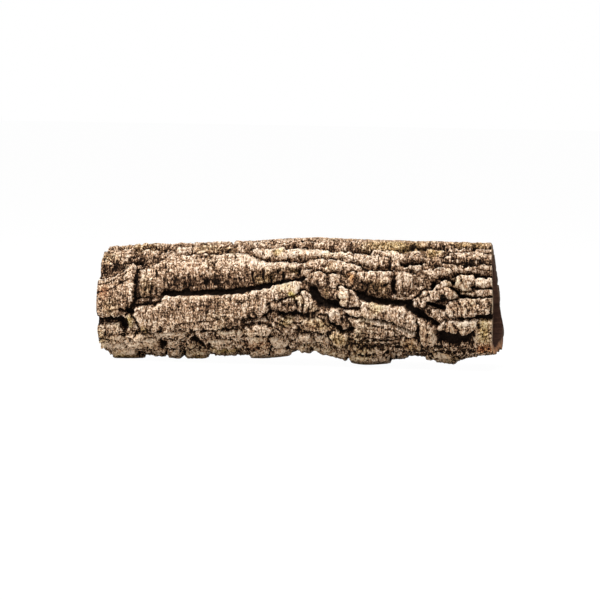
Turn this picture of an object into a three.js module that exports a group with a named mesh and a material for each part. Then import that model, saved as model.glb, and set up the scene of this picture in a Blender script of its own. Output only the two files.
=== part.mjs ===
// Virgin cork bark tube: one natural piece, in millimetres.
// The tube lies along X, its front faces -Y and Z is up, with the lowest bark at z = 0.
// Places on the bark are given as [x, angle]: angle 0 is the front, 90 the top, -90 the bottom.
// Around the middle of the wall one degree is close to one millimetre of bark.
import * as THREE from "three";

const TUBE_LENGTH = 400;
const FURROW_DEPTH = 10.5;
const BORE_DEPTH = 16;
const BORE_DEPTH_AT_ENDS = 14.5;
const COLUMNS_FRONT = 62;
const COLUMNS_BACK = 34;
const FRONT_FROM = -100;
const FRONT_TO = 100;
const INNER_ROWS = 12;
const END_SWELL = 2.5;
const LEFT_TRIM = 1;
const MIDDLE_LEVEL = 6.5;
const BOTTOM_LEVEL = 8.5;

// Height of the top and the bottom of the bark along the tube: [share of the half length, mm].
const topHeights = [[-1, 115], [-0.8, 119.2], [-0.3, 124], [0.1, 129], [0.4, 128.4], [1, 130]];
const bottomHeights = [[-1, 0.8], [-0.6, 2.4], [-0.2, 5.3], [0.08, 11], [0.35, 2], [0.62, 6.8], [0.8, 6.4],
  [1, 12.8]];
// The round section turns into a rounded triangle with a flatter front towards the right end.
const triangleShare = [[-1, 0.01], [0.3, 0.02], [1, 0.08]];
const triangleTurn = [[-1, 90], [0.3, 88], [1, 74]];
const sectionLean = [[-1, 0], [0.2, 0.02], [1, 0.24]];
// The right end isn't sawn quite square: how far each side reaches past the cut, by angle.
const rightSkew = [[-90, 3.5], [-45, 1], [0, 1], [50, 0.5], [90, -2], [150, -3.5], [185, -2.2], [215, 3.5],
  [245, 5.2], [270, 3.5]];

// Bark plates standing above the furrow floor: rise and edge width in mm, outline as [x, angle].
// A roll is rounder, and has an upper edge and an underside of its own widths instead.
const plates = [
  // Upper left roll in two lobes, and the skyline plates along the top.
  { rise: 10.5, roll: [8, 22], outline: [[-212, 78], [-168, 80], [-166, 60], [-168, 51], [-176, 42],
    [-186, 37.5], [-212, 33]] },
  { rise: 9, roll: [8, 18], outline: [[-164, 79], [-140, 73], [-139, 59], [-142, 46], [-150, 43], [-156, 46],
    [-162, 59]] },
  { rise: 10, edge: 5, outline: [[-212, 110], [-70, 112], [-70, 82], [-125, 77], [-150, 81], [-212, 83]] },
  { rise: 10, edge: 5, outline: [[-126, 74], [-70, 79], [-50, 75], [-50, 66], [-66, 64], [-100, 62],
    [-122, 62]] },
  { rise: 8, edge: 4, outline: [[-134, 57], [-124, 57], [-123, 67], [-136, 68]] },
  { rise: 10.5, edge: 5, outline: [[-68, 108], [-68, 81], [-48, 79], [-46, 108]] },
  // Left end roll with its steep right wall.
  { rise: 12.5, edge: 9, outline: [[-212, 26], [-200, 29], [-183, 34.5], [-170, 41.5], [-163, 45.5],
    [-160.5, 41], [-160.5, 2], [-164, -3], [-176, -4], [-178, -10], [-188, -11.5], [-212, -11]] },
  // Big upper roll.
  { rise: 11.5, roll: [8, 28], outline: [[-159, 41], [-149, 43], [-140, 50], [-134, 60], [-125, 61],
    [-100, 61], [-78, 61], [-60, 63], [-45, 59], [-35, 51], [-27, 48.5], [0, 46.5], [9.5, 45.5], [10.5, 27],
    [0, 25], [-9, 24], [-20, 22.5], [-30, 20.5], [-40, 19], [-60, 16], [-80, 15], [-100, 15.5],
    [-115, 13], [-128, 9.5], [-133, 6], [-147, 4], [-159, 3]] },
  // Thin plates between the big upper roll and the top ridge.
  { rise: 10.5, edge: 4, outline: [[-45, 67], [-43, 60], [-34, 53], [-27, 50], [-8, 49.5], [10, 48],
    [20, 50], [36, 51], [36, 58], [28, 61], [10, 62.5], [-6, 63], [-20, 67]] },
  { rise: 11.5, edge: 8, outline: [[-50, 112], [-48, 71], [-20, 69], [-6, 68], [8, 67.5], [30, 67],
    [50, 65], [75, 66], [100, 67], [127, 75], [150, 73], [212, 71.5], [212, 112]] },
  { rise: 9, edge: 4, outline: [[38, 60], [39, 53], [50, 52], [71, 50], [71, 59.5], [50, 61]] },
  { rise: 9, edge: 5, outline: [[12, 46.5], [30, 49], [46, 49], [63, 47], [70, 41], [66, 36], [50, 36],
    [38, 33], [20, 37], [12, 36]] },
  { rise: 10.5, edge: 6, outline: [[71, 55], [80, 57], [97, 55], [98, 45], [88, 43], [78, 43.5],
    [71, 47]] },
  { rise: 9.5, edge: 5, outline: [[78, 65], [105, 65], [112, 57], [110, 46], [100, 43.5], [99, 56],
    [80, 59]] },
  { rise: 9, edge: 4, outline: [[114, 53], [123, 50], [131, 62], [127, 68], [113, 64]] },
  { rise: 9.5, edge: 5, outline: [[134, 58], [150, 56], [154, 67], [135, 70]] },
  { rise: 10.5, edge: 6, outline: [[152, 57], [154, 52], [171, 51], [212, 50.5], [212, 62], [160, 63]] },
  { rise: 9, edge: 4, outline: [[156, 65], [212, 64.5], [212, 70], [156, 71]] },
  // Big middle roll: its top lip steps up towards the right.
  { rise: 13, edge: 9, outline: [[-159, -2], [-140, -1], [-132, 1], [-129.5, 8], [-110, 9], [-100, 11.5],
    [-95, 9.5], [-60, 9.5], [-42, 11.5], [-39, 14.5], [-22, 15], [-19.5, 19], [-10, 20.5], [8, 22], [11, 19],
    [10, 9], [5, 4], [-14, -1], [-22, -2], [-25, -11], [-38, -14], [-48, -17], [-50, -23], [-63, -25],
    [-82, -28.5], [-100, -27.5], [-112, -26], [-130, -29.5], [-139, -28], [-148, -33], [-154, -27],
    [-160, -15], [-162, -9]] },
  { rise: 11, edge: 6, outline: [[-22, -1], [-13, 2], [-3, 4.5], [4, 3], [6.5, -3], [5, -10.5],
    [-4, -9.5], [-20, -8]] },
  { rise: 11, edge: 6, outline: [[7, 3], [10, 9], [16, 10], [20, 6], [27, 2], [28, -8], [22, -13],
    [10, -11], [7, -6]] },
  // Lower left roll and the broken plates under the middle roll.
  { rise: 9.5, edge: 8, outline: [[-212, -21], [-177, -21], [-173.5, -29], [-172, -46], [-212, -47]] },
  { rise: 8, edge: 4, outline: [[-169, -12], [-164, -12], [-160, -20], [-155, -29], [-160, -32],
    [-168, -27], [-170, -20]] },
  { rise: 9.5, edge: 5, outline: [[-212, -49], [-171, -48], [-160, -34], [-150, -36], [-142, -44],
    [-143, -57], [-212, -59]] },
  { rise: 4, edge: 6, outline: [[-212, -62], [-193, -62], [-194, -92], [-212, -98]] },
  { rise: 14, edge: 9, outline: [[-190, -62], [-178, -60], [-167, -61], [-160, -72], [-157, -86],
    [-163, -100], [-174, -108], [-188, -105], [-194, -92], [-192, -76]] },
  { rise: 9, edge: 6, outline: [[-158, -60], [-133, -62], [-132, -76], [-136, -90], [-148, -96],
    [-155, -84]] },
  { rise: 12.5, edge: 7, outline: [[-130, -62], [-119, -61], [-116, -76], [-118, -92], [-124, -101],
    [-131, -93], [-133, -78]] },
  { rise: 11.5, edge: 8, outline: [[-113, -66], [-92, -64], [-88, -76], [-92, -92], [-104, -100],
    [-113, -92], [-116, -78]] },
  { rise: 9, edge: 4, outline: [[-141, -31], [-128, -32], [-118, -29], [-108, -30], [-107, -37],
    [-118, -42], [-139, -39]] },
  { rise: 7, edge: 5, outline: [[-127, -46], [-110, -40], [-108, -60], [-126, -60]] },
  { rise: 8, edge: 3, outline: [[-98, -31], [-84, -31], [-83, -38], [-92, -40], [-98, -38]] },
  { rise: 9.5, edge: 4, outline: [[-86, -42], [-76, -41], [-65, -44], [-60, -50], [-61, -57], [-80, -56]] },
  { rise: 8.5, edge: 4, outline: [[-80, -31], [-62, -28], [-52, -28], [-50, -36], [-55, -44], [-66, -41]] },
  { rise: 8.5, edge: 7, outline: [[-84, -60], [-60, -60], [-57, -75], [-62, -90], [-74, -99],
    [-86, -92], [-88, -76]] },
  { rise: 11.5, edge: 7, outline: [[-48, -26], [-38, -22.5], [-24, -22], [-18, -28], [-22, -34],
    [-34, -34], [-44, -34]] },
  { rise: 8, edge: 4, outline: [[-47, -20], [-38, -16], [-26, -14], [-22, -20], [-38, -20.5],
    [-46, -24]] },
  { rise: 9.5, edge: 6, outline: [[-47, -41], [-40, -38], [-25, -39], [-24, -60], [-46, -60]] },
  { rise: 14, edge: 10, outline: [[-45, -61], [-26, -60], [-7, -62], [-3, -76], [-8, -92], [-20, -104],
    [-36, -107], [-47, -98], [-49, -78]] },
  { rise: 9.5, edge: 6, outline: [[-22, -40], [-8, -42], [-5, -59], [-22, -60]] },
  { rise: 9, edge: 5, outline: [[-20, -17], [-12, -16], [3, -22], [6, -30], [0, -38], [-14, -38],
    [-19, -30]] },
  { rise: 9, edge: 6, outline: [[9, -27], [16, -18.5], [30, -18.5], [38, -26], [36, -32], [26, -34],
    [13, -33]] },
  { rise: 10, edge: 5, outline: [[6, -38], [20, -39], [24, -52], [2, -51]] },
  { rise: 9, edge: 5, outline: [[23, -39], [38, -37], [40, -50], [36, -56], [26, -52]] },
  { rise: 11.5, edge: 8, outline: [[41, -29], [50, -26], [58, -29], [60.5, -36], [56, -43], [48, -47],
    [41, -44], [38, -36]] },
  { rise: 10.5, edge: 5, outline: [[2, -62], [14, -62], [17, -84], [3, -86]] },
  { rise: 10.5, edge: 7, outline: [[18, -63], [40, -66], [53, -65], [53, -80], [50, -96], [36, -105],
    [22, -98], [19, -80]] },
  // Crumbled middle of the front.
  { rise: 8.5, edge: 4, outline: [[11, 35], [18, 36], [18, 20], [11.5, 19]] },
  { rise: 8.5, edge: 6, outline: [[20, 36], [30, 34], [36, 30], [37, 20], [30, 16], [21, 17]] },
  { rise: 8.5, edge: 5, outline: [[38, 32], [49, 33], [49, 20], [44, 14], [38, 16]] },
  { rise: 9, edge: 4, outline: [[57, 37], [65, 37], [64, 23], [57, 24]] },
  { rise: 4.5, edge: 5, outline: [[30, 18], [39, 16], [41, 10], [39, 2], [31, 3]] },
  { rise: 12, edge: 5, outline: [[49, 18], [53, 20], [59.5, 17], [59.5, 0], [55, -2], [50, 0],
    [48, 8]] },
  { rise: 10.5, edge: 6, outline: [[59, 18], [66, 14], [70, 8], [71, 1], [60, 0]] },
  { rise: 9.5, edge: 5, outline: [[40, -4], [51, -3], [52, -18], [46, -20.5], [40, -17]] },
  { rise: 9, edge: 4, outline: [[52, -4], [70, -2], [78, -3], [80, -9], [60, -9]] },
  // Upper right roll, its two lobes parted by a crack.
  { rise: 12, roll: [8, 24], outline: [[64, 44], [70, 40], [80, 39.5], [103.5, 41], [104, 14], [95, 13],
    [80, 12], [70, 13.5], [66, 20], [64.5, 30]] },
  { rise: 12, roll: [8, 24], outline: [[103, 41], [118, 40], [128, 36], [127, 25], [126, 20], [119, 12.5],
    [112, 10.5], [105, 12]] },
  // Ridges running down to the right under the upper right roll.
  { rise: 12.5, edge: 7, outline: [[70, 7], [80, 4.5], [100, 4.5], [110, 1], [116, -1], [125, -4],
    [129, -10], [128, -23], [116, -19], [105, -15], [97, -12.5], [88, -10.5], [72, -8]] },
  { rise: 10.5, edge: 6, outline: [[60, -11], [80, -11], [97, -14.5], [113, -21], [127, -26], [127, -31],
    [110, -29.5], [75, -30.5], [67, -29], [60, -22]] },
  { rise: 10.5, edge: 7, outline: [[129, -10], [141, -11], [147, -17], [147.5, -38], [140, -39.5],
    [133, -38], [129, -31]] },
  { rise: 8, edge: 5, outline: [[110, -31], [126, -33], [132, -41], [131, -53], [114, -53], [109, -40]] },
  { rise: 5, edge: 4, outline: [[66, -34], [106, -33], [110, -40], [110, -47], [68, -47], [63, -40]] },
  { rise: 8, edge: 3, outline: [[66, -48], [111, -48], [111, -53], [66, -53]] },
  { rise: 14, edge: 10, outline: [[56, -63], [70, -60], [97, -62], [99, -80], [96, -97], [84, -108],
    [66, -108], [56, -96], [54, -78]] },
  { rise: 8, edge: 5, outline: [[97, -62], [111, -59], [112, -98], [99, -101]] },
  { rise: 5, edge: 8, outline: [[112, -60], [120, -58], [134, -58], [135, -76], [131, -95], [116, -105],
    [112, -98]] },
  { rise: 10.5, edge: 8, outline: [[141, -54], [152, -52], [161, -53], [163, -70], [161, -92],
    [154, -104], [145, -101], [141, -86]] },
  { rise: 5, edge: 8, outline: [[165, -56], [186, -52], [212, -50], [212, -100], [186, -98], [166, -88]] },
  // Diagonal ridge, and the plates around it.
  { rise: 13, edge: 8, outline: [[115, 5], [124, 8.5], [130, 13], [136, 18.5], [143, 20.5], [148, 27],
    [155, 32.5], [161, 31], [163, 25], [168, 17], [166, 12.5], [150, 9], [143, 8], [139, 2], [127, -1],
    [121, 2]] },
  { rise: 9.5, edge: 5, outline: [[141, -1], [157, -1], [158, -8.5], [150, -10.5], [144, -8]] },
  { rise: 9.5, edge: 5, outline: [[132, 43], [148, 47], [161, 46], [164, 40], [161, 36], [155, 37],
    [148, 33], [141, 32], [136, 37]] },
  { rise: 9, edge: 4, outline: [[117, 47], [130, 48], [131, 42.5], [119, 42]] },
  { rise: 11.5, edge: 8, outline: [[165, 35], [172, 39], [180, 40], [185, 35], [184, 29], [179, 22],
    [172, 20], [165, 27]] },
  { rise: 9, edge: 4, outline: [[185, 49.5], [212, 49.5], [212, 43], [186, 43]] },
  { rise: 10, edge: 4, outline: [[182, 32], [190, 34], [212, 34], [212, 24.5], [190, 23.5], [183, 25]] },
  { rise: 10.5, edge: 5, outline: [[181, 21], [190, 22], [212, 22], [212, 12.5], [187, 12.5]] },
  // Right end block, the plate under it and the smooth bark below.
  { rise: 12.5, edge: 9, outline: [[157, 4], [161, 9], [168, 11.5], [212, 11.5], [212, -6.5], [178, -8],
    [171, -9.5], [160, -8.5], [156.5, -3]] },
  { rise: 11.5, edge: 5, outline: [[147, -17], [152, -13], [160, -11], [212, -11.5], [212, -47],
    [186, -47], [182, -37], [184, -24], [165, -24], [155, -23], [148, -21.5]] },
  { rise: 5, edge: 4, outline: [[150, -42], [165, -44], [181, -42], [184, -51], [150, -51]] },
];

// Holes and pockets sunk below the furrow floor: depth and edge width in mm.
const pockets = [
  { depth: 1.5, edge: 3, outline: [[147, -24], [183, -25], [182, -40], [150, -40]] },
  { depth: 1.5, edge: 4, outline: [[20, 14], [30, 2], [48, -3], [50, 8], [44, 15], [40, 12], [30, 20]] },
  { depth: 1.5, edge: 3, outline: [[-167, 48], [-155, 50], [-156, 57], [-166, 57]] },
  { depth: 1.5, edge: 4, outline: [[-108, -38], [-96, -40], [-85, -42], [-84, -58], [-106, -60]] },
  { depth: 1.5, edge: 3, outline: [[168, 41], [184, 42], [184, 48], [170, 47]] },
  { depth: 1.5, edge: 3, outline: [[141, 1], [156, 1], [156, 7], [144, 7]] },
  { depth: 1.5, edge: 3, outline: [[121, -1], [130, -7], [144, -11], [146, -14], [130, -12], [121, -5]] },
];

// Deep hollows, as lines of [x, angle] with their reach in mm: nothing fills them between the plates.
const hollows = [
  { reach: 3.4, line: [[-130, 10], [-115, 9.5], [-90, 10.5], [-70, 12], [-50, 15.5], [-35, 19], [-20, 21],
    [0, 23], [12, 25]] },
  { reach: 3.2, line: [[69, 13], [80, 8.5], [95, 5.5], [118, 4]] },
  { reach: 4, line: [[121, -1], [121, 5]] },
  { reach: 3, line: [[122, 1], [130, -6], [138, -11], [147, -15]] },
  { reach: 5, line: [[153, -27], [165, -27.5], [177, -28]] },
  { reach: 4.5, line: [[154, -34], [166, -36]] },
  { reach: 3, line: [[168, -32], [175, -35]] },
  { reach: 4.5, line: [[23, 12], [26, 4], [33, -2], [46, -1]] },
  { reach: 3.6, line: [[-163, 52], [-158, 53]] },
  { reach: 3.6, line: [[170, 43], [182, 43]] },
  { reach: 2.6, line: [[143, 25], [144, 30]] },
  { reach: 2.4, line: [[152, 35], [158, 33.5], [164, 31]] },
  { reach: 2.8, line: [[142, 6], [149, 3], [155, 1]] },
  { reach: 2.4, line: [[170, -8], [180, -9.5], [212, -11]] },
  { reach: 3.4, line: [[-212, -16], [-186, -15], [-175, -15.5], [-171, -20], [-171, -26]] },
  { reach: 3, line: [[-173, -5], [-165, -7.5]] },
  { reach: 5, line: [[-101, -44], [-96, -50], [-92, -56]] },
  { reach: 4, line: [[-134, -47], [-134, -56]] },
  { reach: 2.2, line: [[-48, -37], [-42, -37]] },
  { reach: 3, line: [[-10, -13], [2, -13], [15, -15]] },
  { reach: 2.8, line: [[42, -22], [50, -24]] },
  { reach: 2.2, line: [[52, -29], [56, -25], [62, -22.5]] },
  { reach: 3.4, line: [[66, -55], [88, -56.5], [110, -56]] },
  { reach: 2.8, line: [[6, -56], [15, -57]] },
  { reach: 2.4, line: [[-8, 62.5], [8, 62.5], [30, 62], [52, 62.5], [75, 64]] },
  { reach: 2.8, line: [[187, 37], [212, 37.5]] },
  { reach: 2, line: [[162, 24], [170, 15], [185, 12]] },
];

// Stations of the rings along the tube, closer together where plates end in steep walls.
const stations = [-200, -193, -185, -178, -172, -166, -161.5, -158, -150, -140, -131.5, -127, -118, -109,
  -99, -88, -79, -70, -61, -52, -44, -34, -24, -14, -4, 5, 10.5, 19, 28, 38, 47, 52, 60, 69, 80, 92, 103,
  109, 119, 128, 138, 147, 151, 158, 166, 175, 184, 192, 200];

// The hidden back carries long ridges laid out from a fixed seed.
const BACK_FROM = 112;
const BACK_TO = 252;
const BACK_SEED = 41;
const BACK_ROWS = [28, 15, 31, 24, 17, 25];

function seededNumbers(seed) {
  let state = seed;
  return () => {
    state = (state * 16807) % 2147483647;
    return state / 2147483647;
  };
}

function backPlates() {
  const next = seededNumbers(BACK_SEED);
  const found = [];
  const total = BACK_ROWS.reduce((sum, width) => sum + width, 0);
  let angle = BACK_FROM;
  for (const width of BACK_ROWS) {
    const row = (width * (BACK_TO - BACK_FROM)) / total;
    let left = -212;
    while (left < 200) {
      const length = 45 + 85 * next();
      const right = left + length > 175 ? 212 : left + length;
      const low = angle + 0.6 + 1.6 * next();
      const high = angle + row - 1.2 - 1.8 * next();
      const bend = 3.5 * (next() - 0.5);
      const rise = 9.5 + 3.5 * next();
      const slip = 3 * (next() - 0.5);
      const middle = (left + right) / 2;
      found.push({
        rise,
        edge: 0.28 * row + 5 * next(),
        outline: [[left + 1, low + 2], [left + 9, low], [middle, low + bend], [right - 9, low + slip],
          [right - 1.5, low + 3], [right - 1, high - 3], [right - 10, high + slip], [middle, high + bend],
          [left + 8, high], [left + 1.5, high - 2]],
      });
      left = right;
    }
    angle += row;
  }
  return found;
}

function along(table, share) {
  for (let i = 1; i < table.length; i += 1) {
    if (share <= table[i][0]) {
      const [x0, v0] = table[i - 1];
      const [x1, v1] = table[i];
      const t = THREE.MathUtils.clamp((share - x0) / (x1 - x0), 0, 1);
      return v0 + (v1 - v0) * t * t * (3 - 2 * t);
    }
  }
  return table[table.length - 1][1];
}

function distanceToSpan([ax, ay], [bx, by], x, angle) {
  const dx = bx - ax;
  const dy = by - ay;
  const t = THREE.MathUtils.clamp(((x - ax) * dx + (angle - ay) * dy) / (dx * dx + dy * dy), 0, 1);
  return Math.hypot(x - ax - t * dx, angle - ay - t * dy);
}

// Distance to the outline, positive inside it.
function depthInside(outline, x, angle) {
  let nearest = Infinity;
  let inside = false;
  for (let i = 0, j = outline.length - 1; i < outline.length; j = i, i += 1) {
    const [ax, ay] = outline[j];
    const [bx, by] = outline[i];
    nearest = Math.min(nearest, distanceToSpan(outline[j], outline[i], x, angle));
    if ((ay > angle) !== (by > angle) && x < ax + ((angle - ay) / (by - ay)) * (bx - ax)) {
      inside = !inside;
    }
  }
  return inside ? nearest : -nearest;
}

function shoulder(depth, edge) {
  const t = THREE.MathUtils.clamp(depth / edge, 0, 1);
  return Math.pow(1 - Math.pow(1 - t, 2.4), 1 / 2.4);
}

// A roll rounds over a wide underside and a narrower edge on its other sides.
function rollShare(outline, [upper, under], x, angle) {
  let toUnder = Infinity;
  let toUpper = Infinity;
  for (let i = 0, j = outline.length - 1; i < outline.length; j = i, i += 1) {
    const start = outline[j];
    const end = outline[i];
    const away = distanceToSpan(start, end, x, angle);
    const level = Math.abs(end[0] - start[0]) > Math.abs(end[1] - start[1]);
    if (level && depthInside(outline, (start[0] + end[0]) / 2, (start[1] + end[1]) / 2 + 0.4) > 0) {
      toUnder = Math.min(toUnder, away);
    } else {
      toUpper = Math.min(toUpper, away);
    }
  }
  const rise = (away, width) => 1 - (1 - THREE.MathUtils.clamp(away / width, 0, 1)) ** 2;
  return rise(toUnder, under) * rise(toUpper, upper);
}

function hollowShare(x, angle) {
  let share = 0;
  for (const { reach, line } of hollows) {
    for (let i = 1; i < line.length; i += 1) {
      const away = distanceToSpan(line[i - 1], line[i], x, angle);
      share = Math.max(share, THREE.MathUtils.smoothstep(1.45 - away / reach, 0, 1));
    }
  }
  return share;
}

// Height over the furrow floor: plates, the middle level between them, and the hollows and pockets.
function relief(x, angle, barkPlates) {
  let height = 0;
  let bare = 0;
  for (const plate of barkPlates) {
    const behind = angle < -90 && plate.outline.some(([, side]) => side > 180);
    const turned = behind ? angle + 360 : angle;
    const depth = depthInside(plate.outline, x, turned);
    if (depth > 0) {
      const share = plate.roll
        ? rollShare(plate.outline, plate.roll, x, turned)
        : shoulder(depth, plate.edge);
      height = Math.max(height, plate.rise * share);
      if (plate.roll || plate.rise <= 5) {
        bare = Math.max(bare, THREE.MathUtils.smoothstep(depth, 0, 3));
      }
    }
  }
  const hollow = hollowShare(x, angle);
  const under = THREE.MathUtils.smoothstep(36 - Math.abs(angle + 90), 0, 8);
  const middle = THREE.MathUtils.lerp(MIDDLE_LEVEL, BOTTOM_LEVEL, under);
  height = Math.max(height, middle * (1 - bare) * (1 - hollow)) * (1 - 0.9 * hollow);
  for (const pocket of pockets) {
    const depth = depthInside(pocket.outline, x, angle);
    if (depth > 0 && hollow > 0.4) {
      height -= pocket.depth * shoulder(depth, pocket.edge);
    }
  }
  const lumps = 0.5 * Math.sin(x * 0.21 + angle * 0.11) + 0.45 * Math.sin(x * 0.083 - angle * 0.27 + 1.3);
  return height + lumps;
}

// Radius of the bark's high places, and the centre of the section, at x and an angle.
function section(x, angle) {
  const share = THREE.MathUtils.clamp(x / (TUBE_LENGTH / 2), -1, 1);
  const top = along(topHeights, share);
  const bottom = along(bottomHeights, share);
  const triangle = along(triangleShare, share);
  const turn = along(triangleTurn, share);
  const middleRadius = (top - bottom) / 2;
  const lobes = Math.cos(THREE.MathUtils.degToRad(3 * (angle - turn)));
  return {
    radius: middleRadius * (1 + triangle * lobes),
    centre: (top + bottom) / 2 - triangle * middleRadius,
    lean: along(sectionLean, share),
  };
}

function place(x, angle, radius, centre, lean) {
  const turn = THREE.MathUtils.degToRad(angle);
  const up = radius * Math.sin(turn);
  const skew = END_SWELL * Math.cos(turn) ** 2 + along(rightSkew, angle < -90 ? angle + 360 : angle);
  const shift = THREE.MathUtils.smoothstep(x, 150, TUBE_LENGTH / 2) * skew +
    THREE.MathUtils.smoothstep(-x, 150, TUBE_LENGTH / 2) * LEFT_TRIM;
  return [x + shift, -radius * Math.cos(turn) - lean * up, Math.max(centre + up, 0)];
}

function outerPoint(x, angle, barkPlates) {
  const { radius, centre, lean } = section(x, angle);
  const turned = angle > 180 ? angle - 360 : angle;
  const height = relief(x, turned, barkPlates);
  return place(x, angle, radius - FURROW_DEPTH + height, centre, lean);
}

function borePoint(x, angle) {
  const { radius, centre, lean } = section(x, angle);
  const nearEnd = THREE.MathUtils.smoothstep(Math.abs(x), 150, TUBE_LENGTH / 2);
  const depth = THREE.MathUtils.lerp(BORE_DEPTH, BORE_DEPTH_AT_ENDS, nearEnd);
  const ripple = 0.7 * Math.sin(x * 0.05 + THREE.MathUtils.degToRad(angle * 2)) +
    0.5 * Math.sin(THREE.MathUtils.degToRad(angle * 5) + x * 0.03);
  return place(x, angle, radius - depth + ripple, centre, lean);
}

function columnAngles() {
  const angles = [];
  for (let i = 0; i < COLUMNS_FRONT; i += 1) {
    angles.push(FRONT_FROM + ((FRONT_TO - FRONT_FROM) * i) / COLUMNS_FRONT);
  }
  const backSpan = 360 - (FRONT_TO - FRONT_FROM);
  for (let i = 0; i < COLUMNS_BACK; i += 1) {
    angles.push(FRONT_TO + (backSpan * i) / COLUMNS_BACK);
  }
  return angles;
}

// The outside rings run left to right and the bore rings back again, so the rows close on themselves.
function buildBark() {
  const angles = columnAngles();
  const barkPlates = plates.concat(backPlates());
  const rings = stations.map((x) => angles.map((angle) => outerPoint(x, angle, barkPlates)));
  for (let i = INNER_ROWS - 1; i >= 0; i -= 1) {
    const x = -TUBE_LENGTH / 2 + (TUBE_LENGTH * i) / (INNER_ROWS - 1);
    rings.push(angles.map((angle) => borePoint(x, angle)));
  }
  const columns = angles.length;
  const index = [];
  for (let row = 0; row < rings.length; row += 1) {
    const nextRow = (row + 1) % rings.length;
    for (let column = 0; column < columns; column += 1) {
      const nextColumn = (column + 1) % columns;
      const a = row * columns + column;
      const b = nextRow * columns + column;
      const c = nextRow * columns + nextColumn;
      const d = row * columns + nextColumn;
      index.push(a, b, c, a, c, d);
    }
  }
  const geometry = new THREE.BufferGeometry();
  geometry.setAttribute("position", new THREE.Float32BufferAttribute(rings.flat(2), 3));
  geometry.setIndex(index);
  geometry.computeBoundingBox();
  const centre = geometry.boundingBox.getCenter(new THREE.Vector3());
  geometry.translate(-centre.x, -centre.y, 0);
  geometry.computeVertexNormals();
  return geometry;
}

const corkMaterial = new THREE.MeshStandardMaterial({ color: 0x9a8468, roughness: 0.95, metalness: 0 });
corkMaterial.name = "cork_bark";

const barkTube = new THREE.Mesh(buildBark(), corkMaterial);
barkTube.name = "bark_tube";

const group = new THREE.Group();
group.name = "cork_bark_tube";
group.add(barkTube);

export default group;
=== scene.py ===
import math

import bmesh
import bpy
import numpy as np
from mathutils import Matrix, Vector


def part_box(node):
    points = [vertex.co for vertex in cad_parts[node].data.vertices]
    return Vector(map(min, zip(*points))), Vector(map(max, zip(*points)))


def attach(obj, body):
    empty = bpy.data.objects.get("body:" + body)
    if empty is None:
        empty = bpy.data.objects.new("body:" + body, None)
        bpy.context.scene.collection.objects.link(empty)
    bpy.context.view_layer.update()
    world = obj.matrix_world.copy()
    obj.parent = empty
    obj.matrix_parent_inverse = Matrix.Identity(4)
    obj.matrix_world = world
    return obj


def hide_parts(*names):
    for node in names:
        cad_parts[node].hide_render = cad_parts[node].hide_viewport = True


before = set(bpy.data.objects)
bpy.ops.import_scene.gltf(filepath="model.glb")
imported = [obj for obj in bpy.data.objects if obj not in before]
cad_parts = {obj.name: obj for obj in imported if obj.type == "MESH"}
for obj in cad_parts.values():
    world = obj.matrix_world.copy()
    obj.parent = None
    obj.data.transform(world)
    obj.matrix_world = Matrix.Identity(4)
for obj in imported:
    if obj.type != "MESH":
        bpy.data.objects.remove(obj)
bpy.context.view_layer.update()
print("frame loaded")

millimetre = 0.001

# Size and section of the tube in mm, as on the solid; -1 is its left end, 1 its right end.
tube = {
    "length": 400,
    "furrowDepth": 10.5,
    "boreDepth": 16,
    "boreDepthAtEnds": 14.5,
    "endSwell": 2.5,
    "leftTrim": 1.0,
    "endsFrom": 150,
    # By angle, how far the right end reaches out.
    "rightSkew": [(-90, 3.5), (-45, 1), (0, 1), (50, 0.5), (90, -2), (150, -3.5), (185, -2.2), (215, 3.5),
                  (245, 5.2), (270, 3.5)],
    "centre": (3.353, 0.87, 0),
    "topHeights": [(-1, 115), (-0.8, 119.2), (-0.3, 124), (0.1, 129), (0.4, 128.4), (1, 130)],
    "bottomHeights": [(-1, 0.8), (-0.6, 2.4), (-0.2, 5.3), (0.08, 11), (0.35, 2), (0.62, 6.8), (0.8, 6.4),
                      (1, 12.8)],
    "triangleShare": [(-1, 0.01), (0.3, 0.02), (1, 0.08)],
    "triangleTurn": [(-1, 90), (0.3, 88), (1, 74)],
    "sectionLean": [(-1, 0), (0.2, 0.02), (1, 0.24)],
}

# Rings along the tube and columns round it; the front has the finer columns.
meshing = {
    "outerRows": 318,
    "endRows": 5,
    "boreRows": 16,
    "frontColumns": 204,
    "backColumns": 78,
    "frontFrom": -102,
    "frontTo": 102,
}

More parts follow.
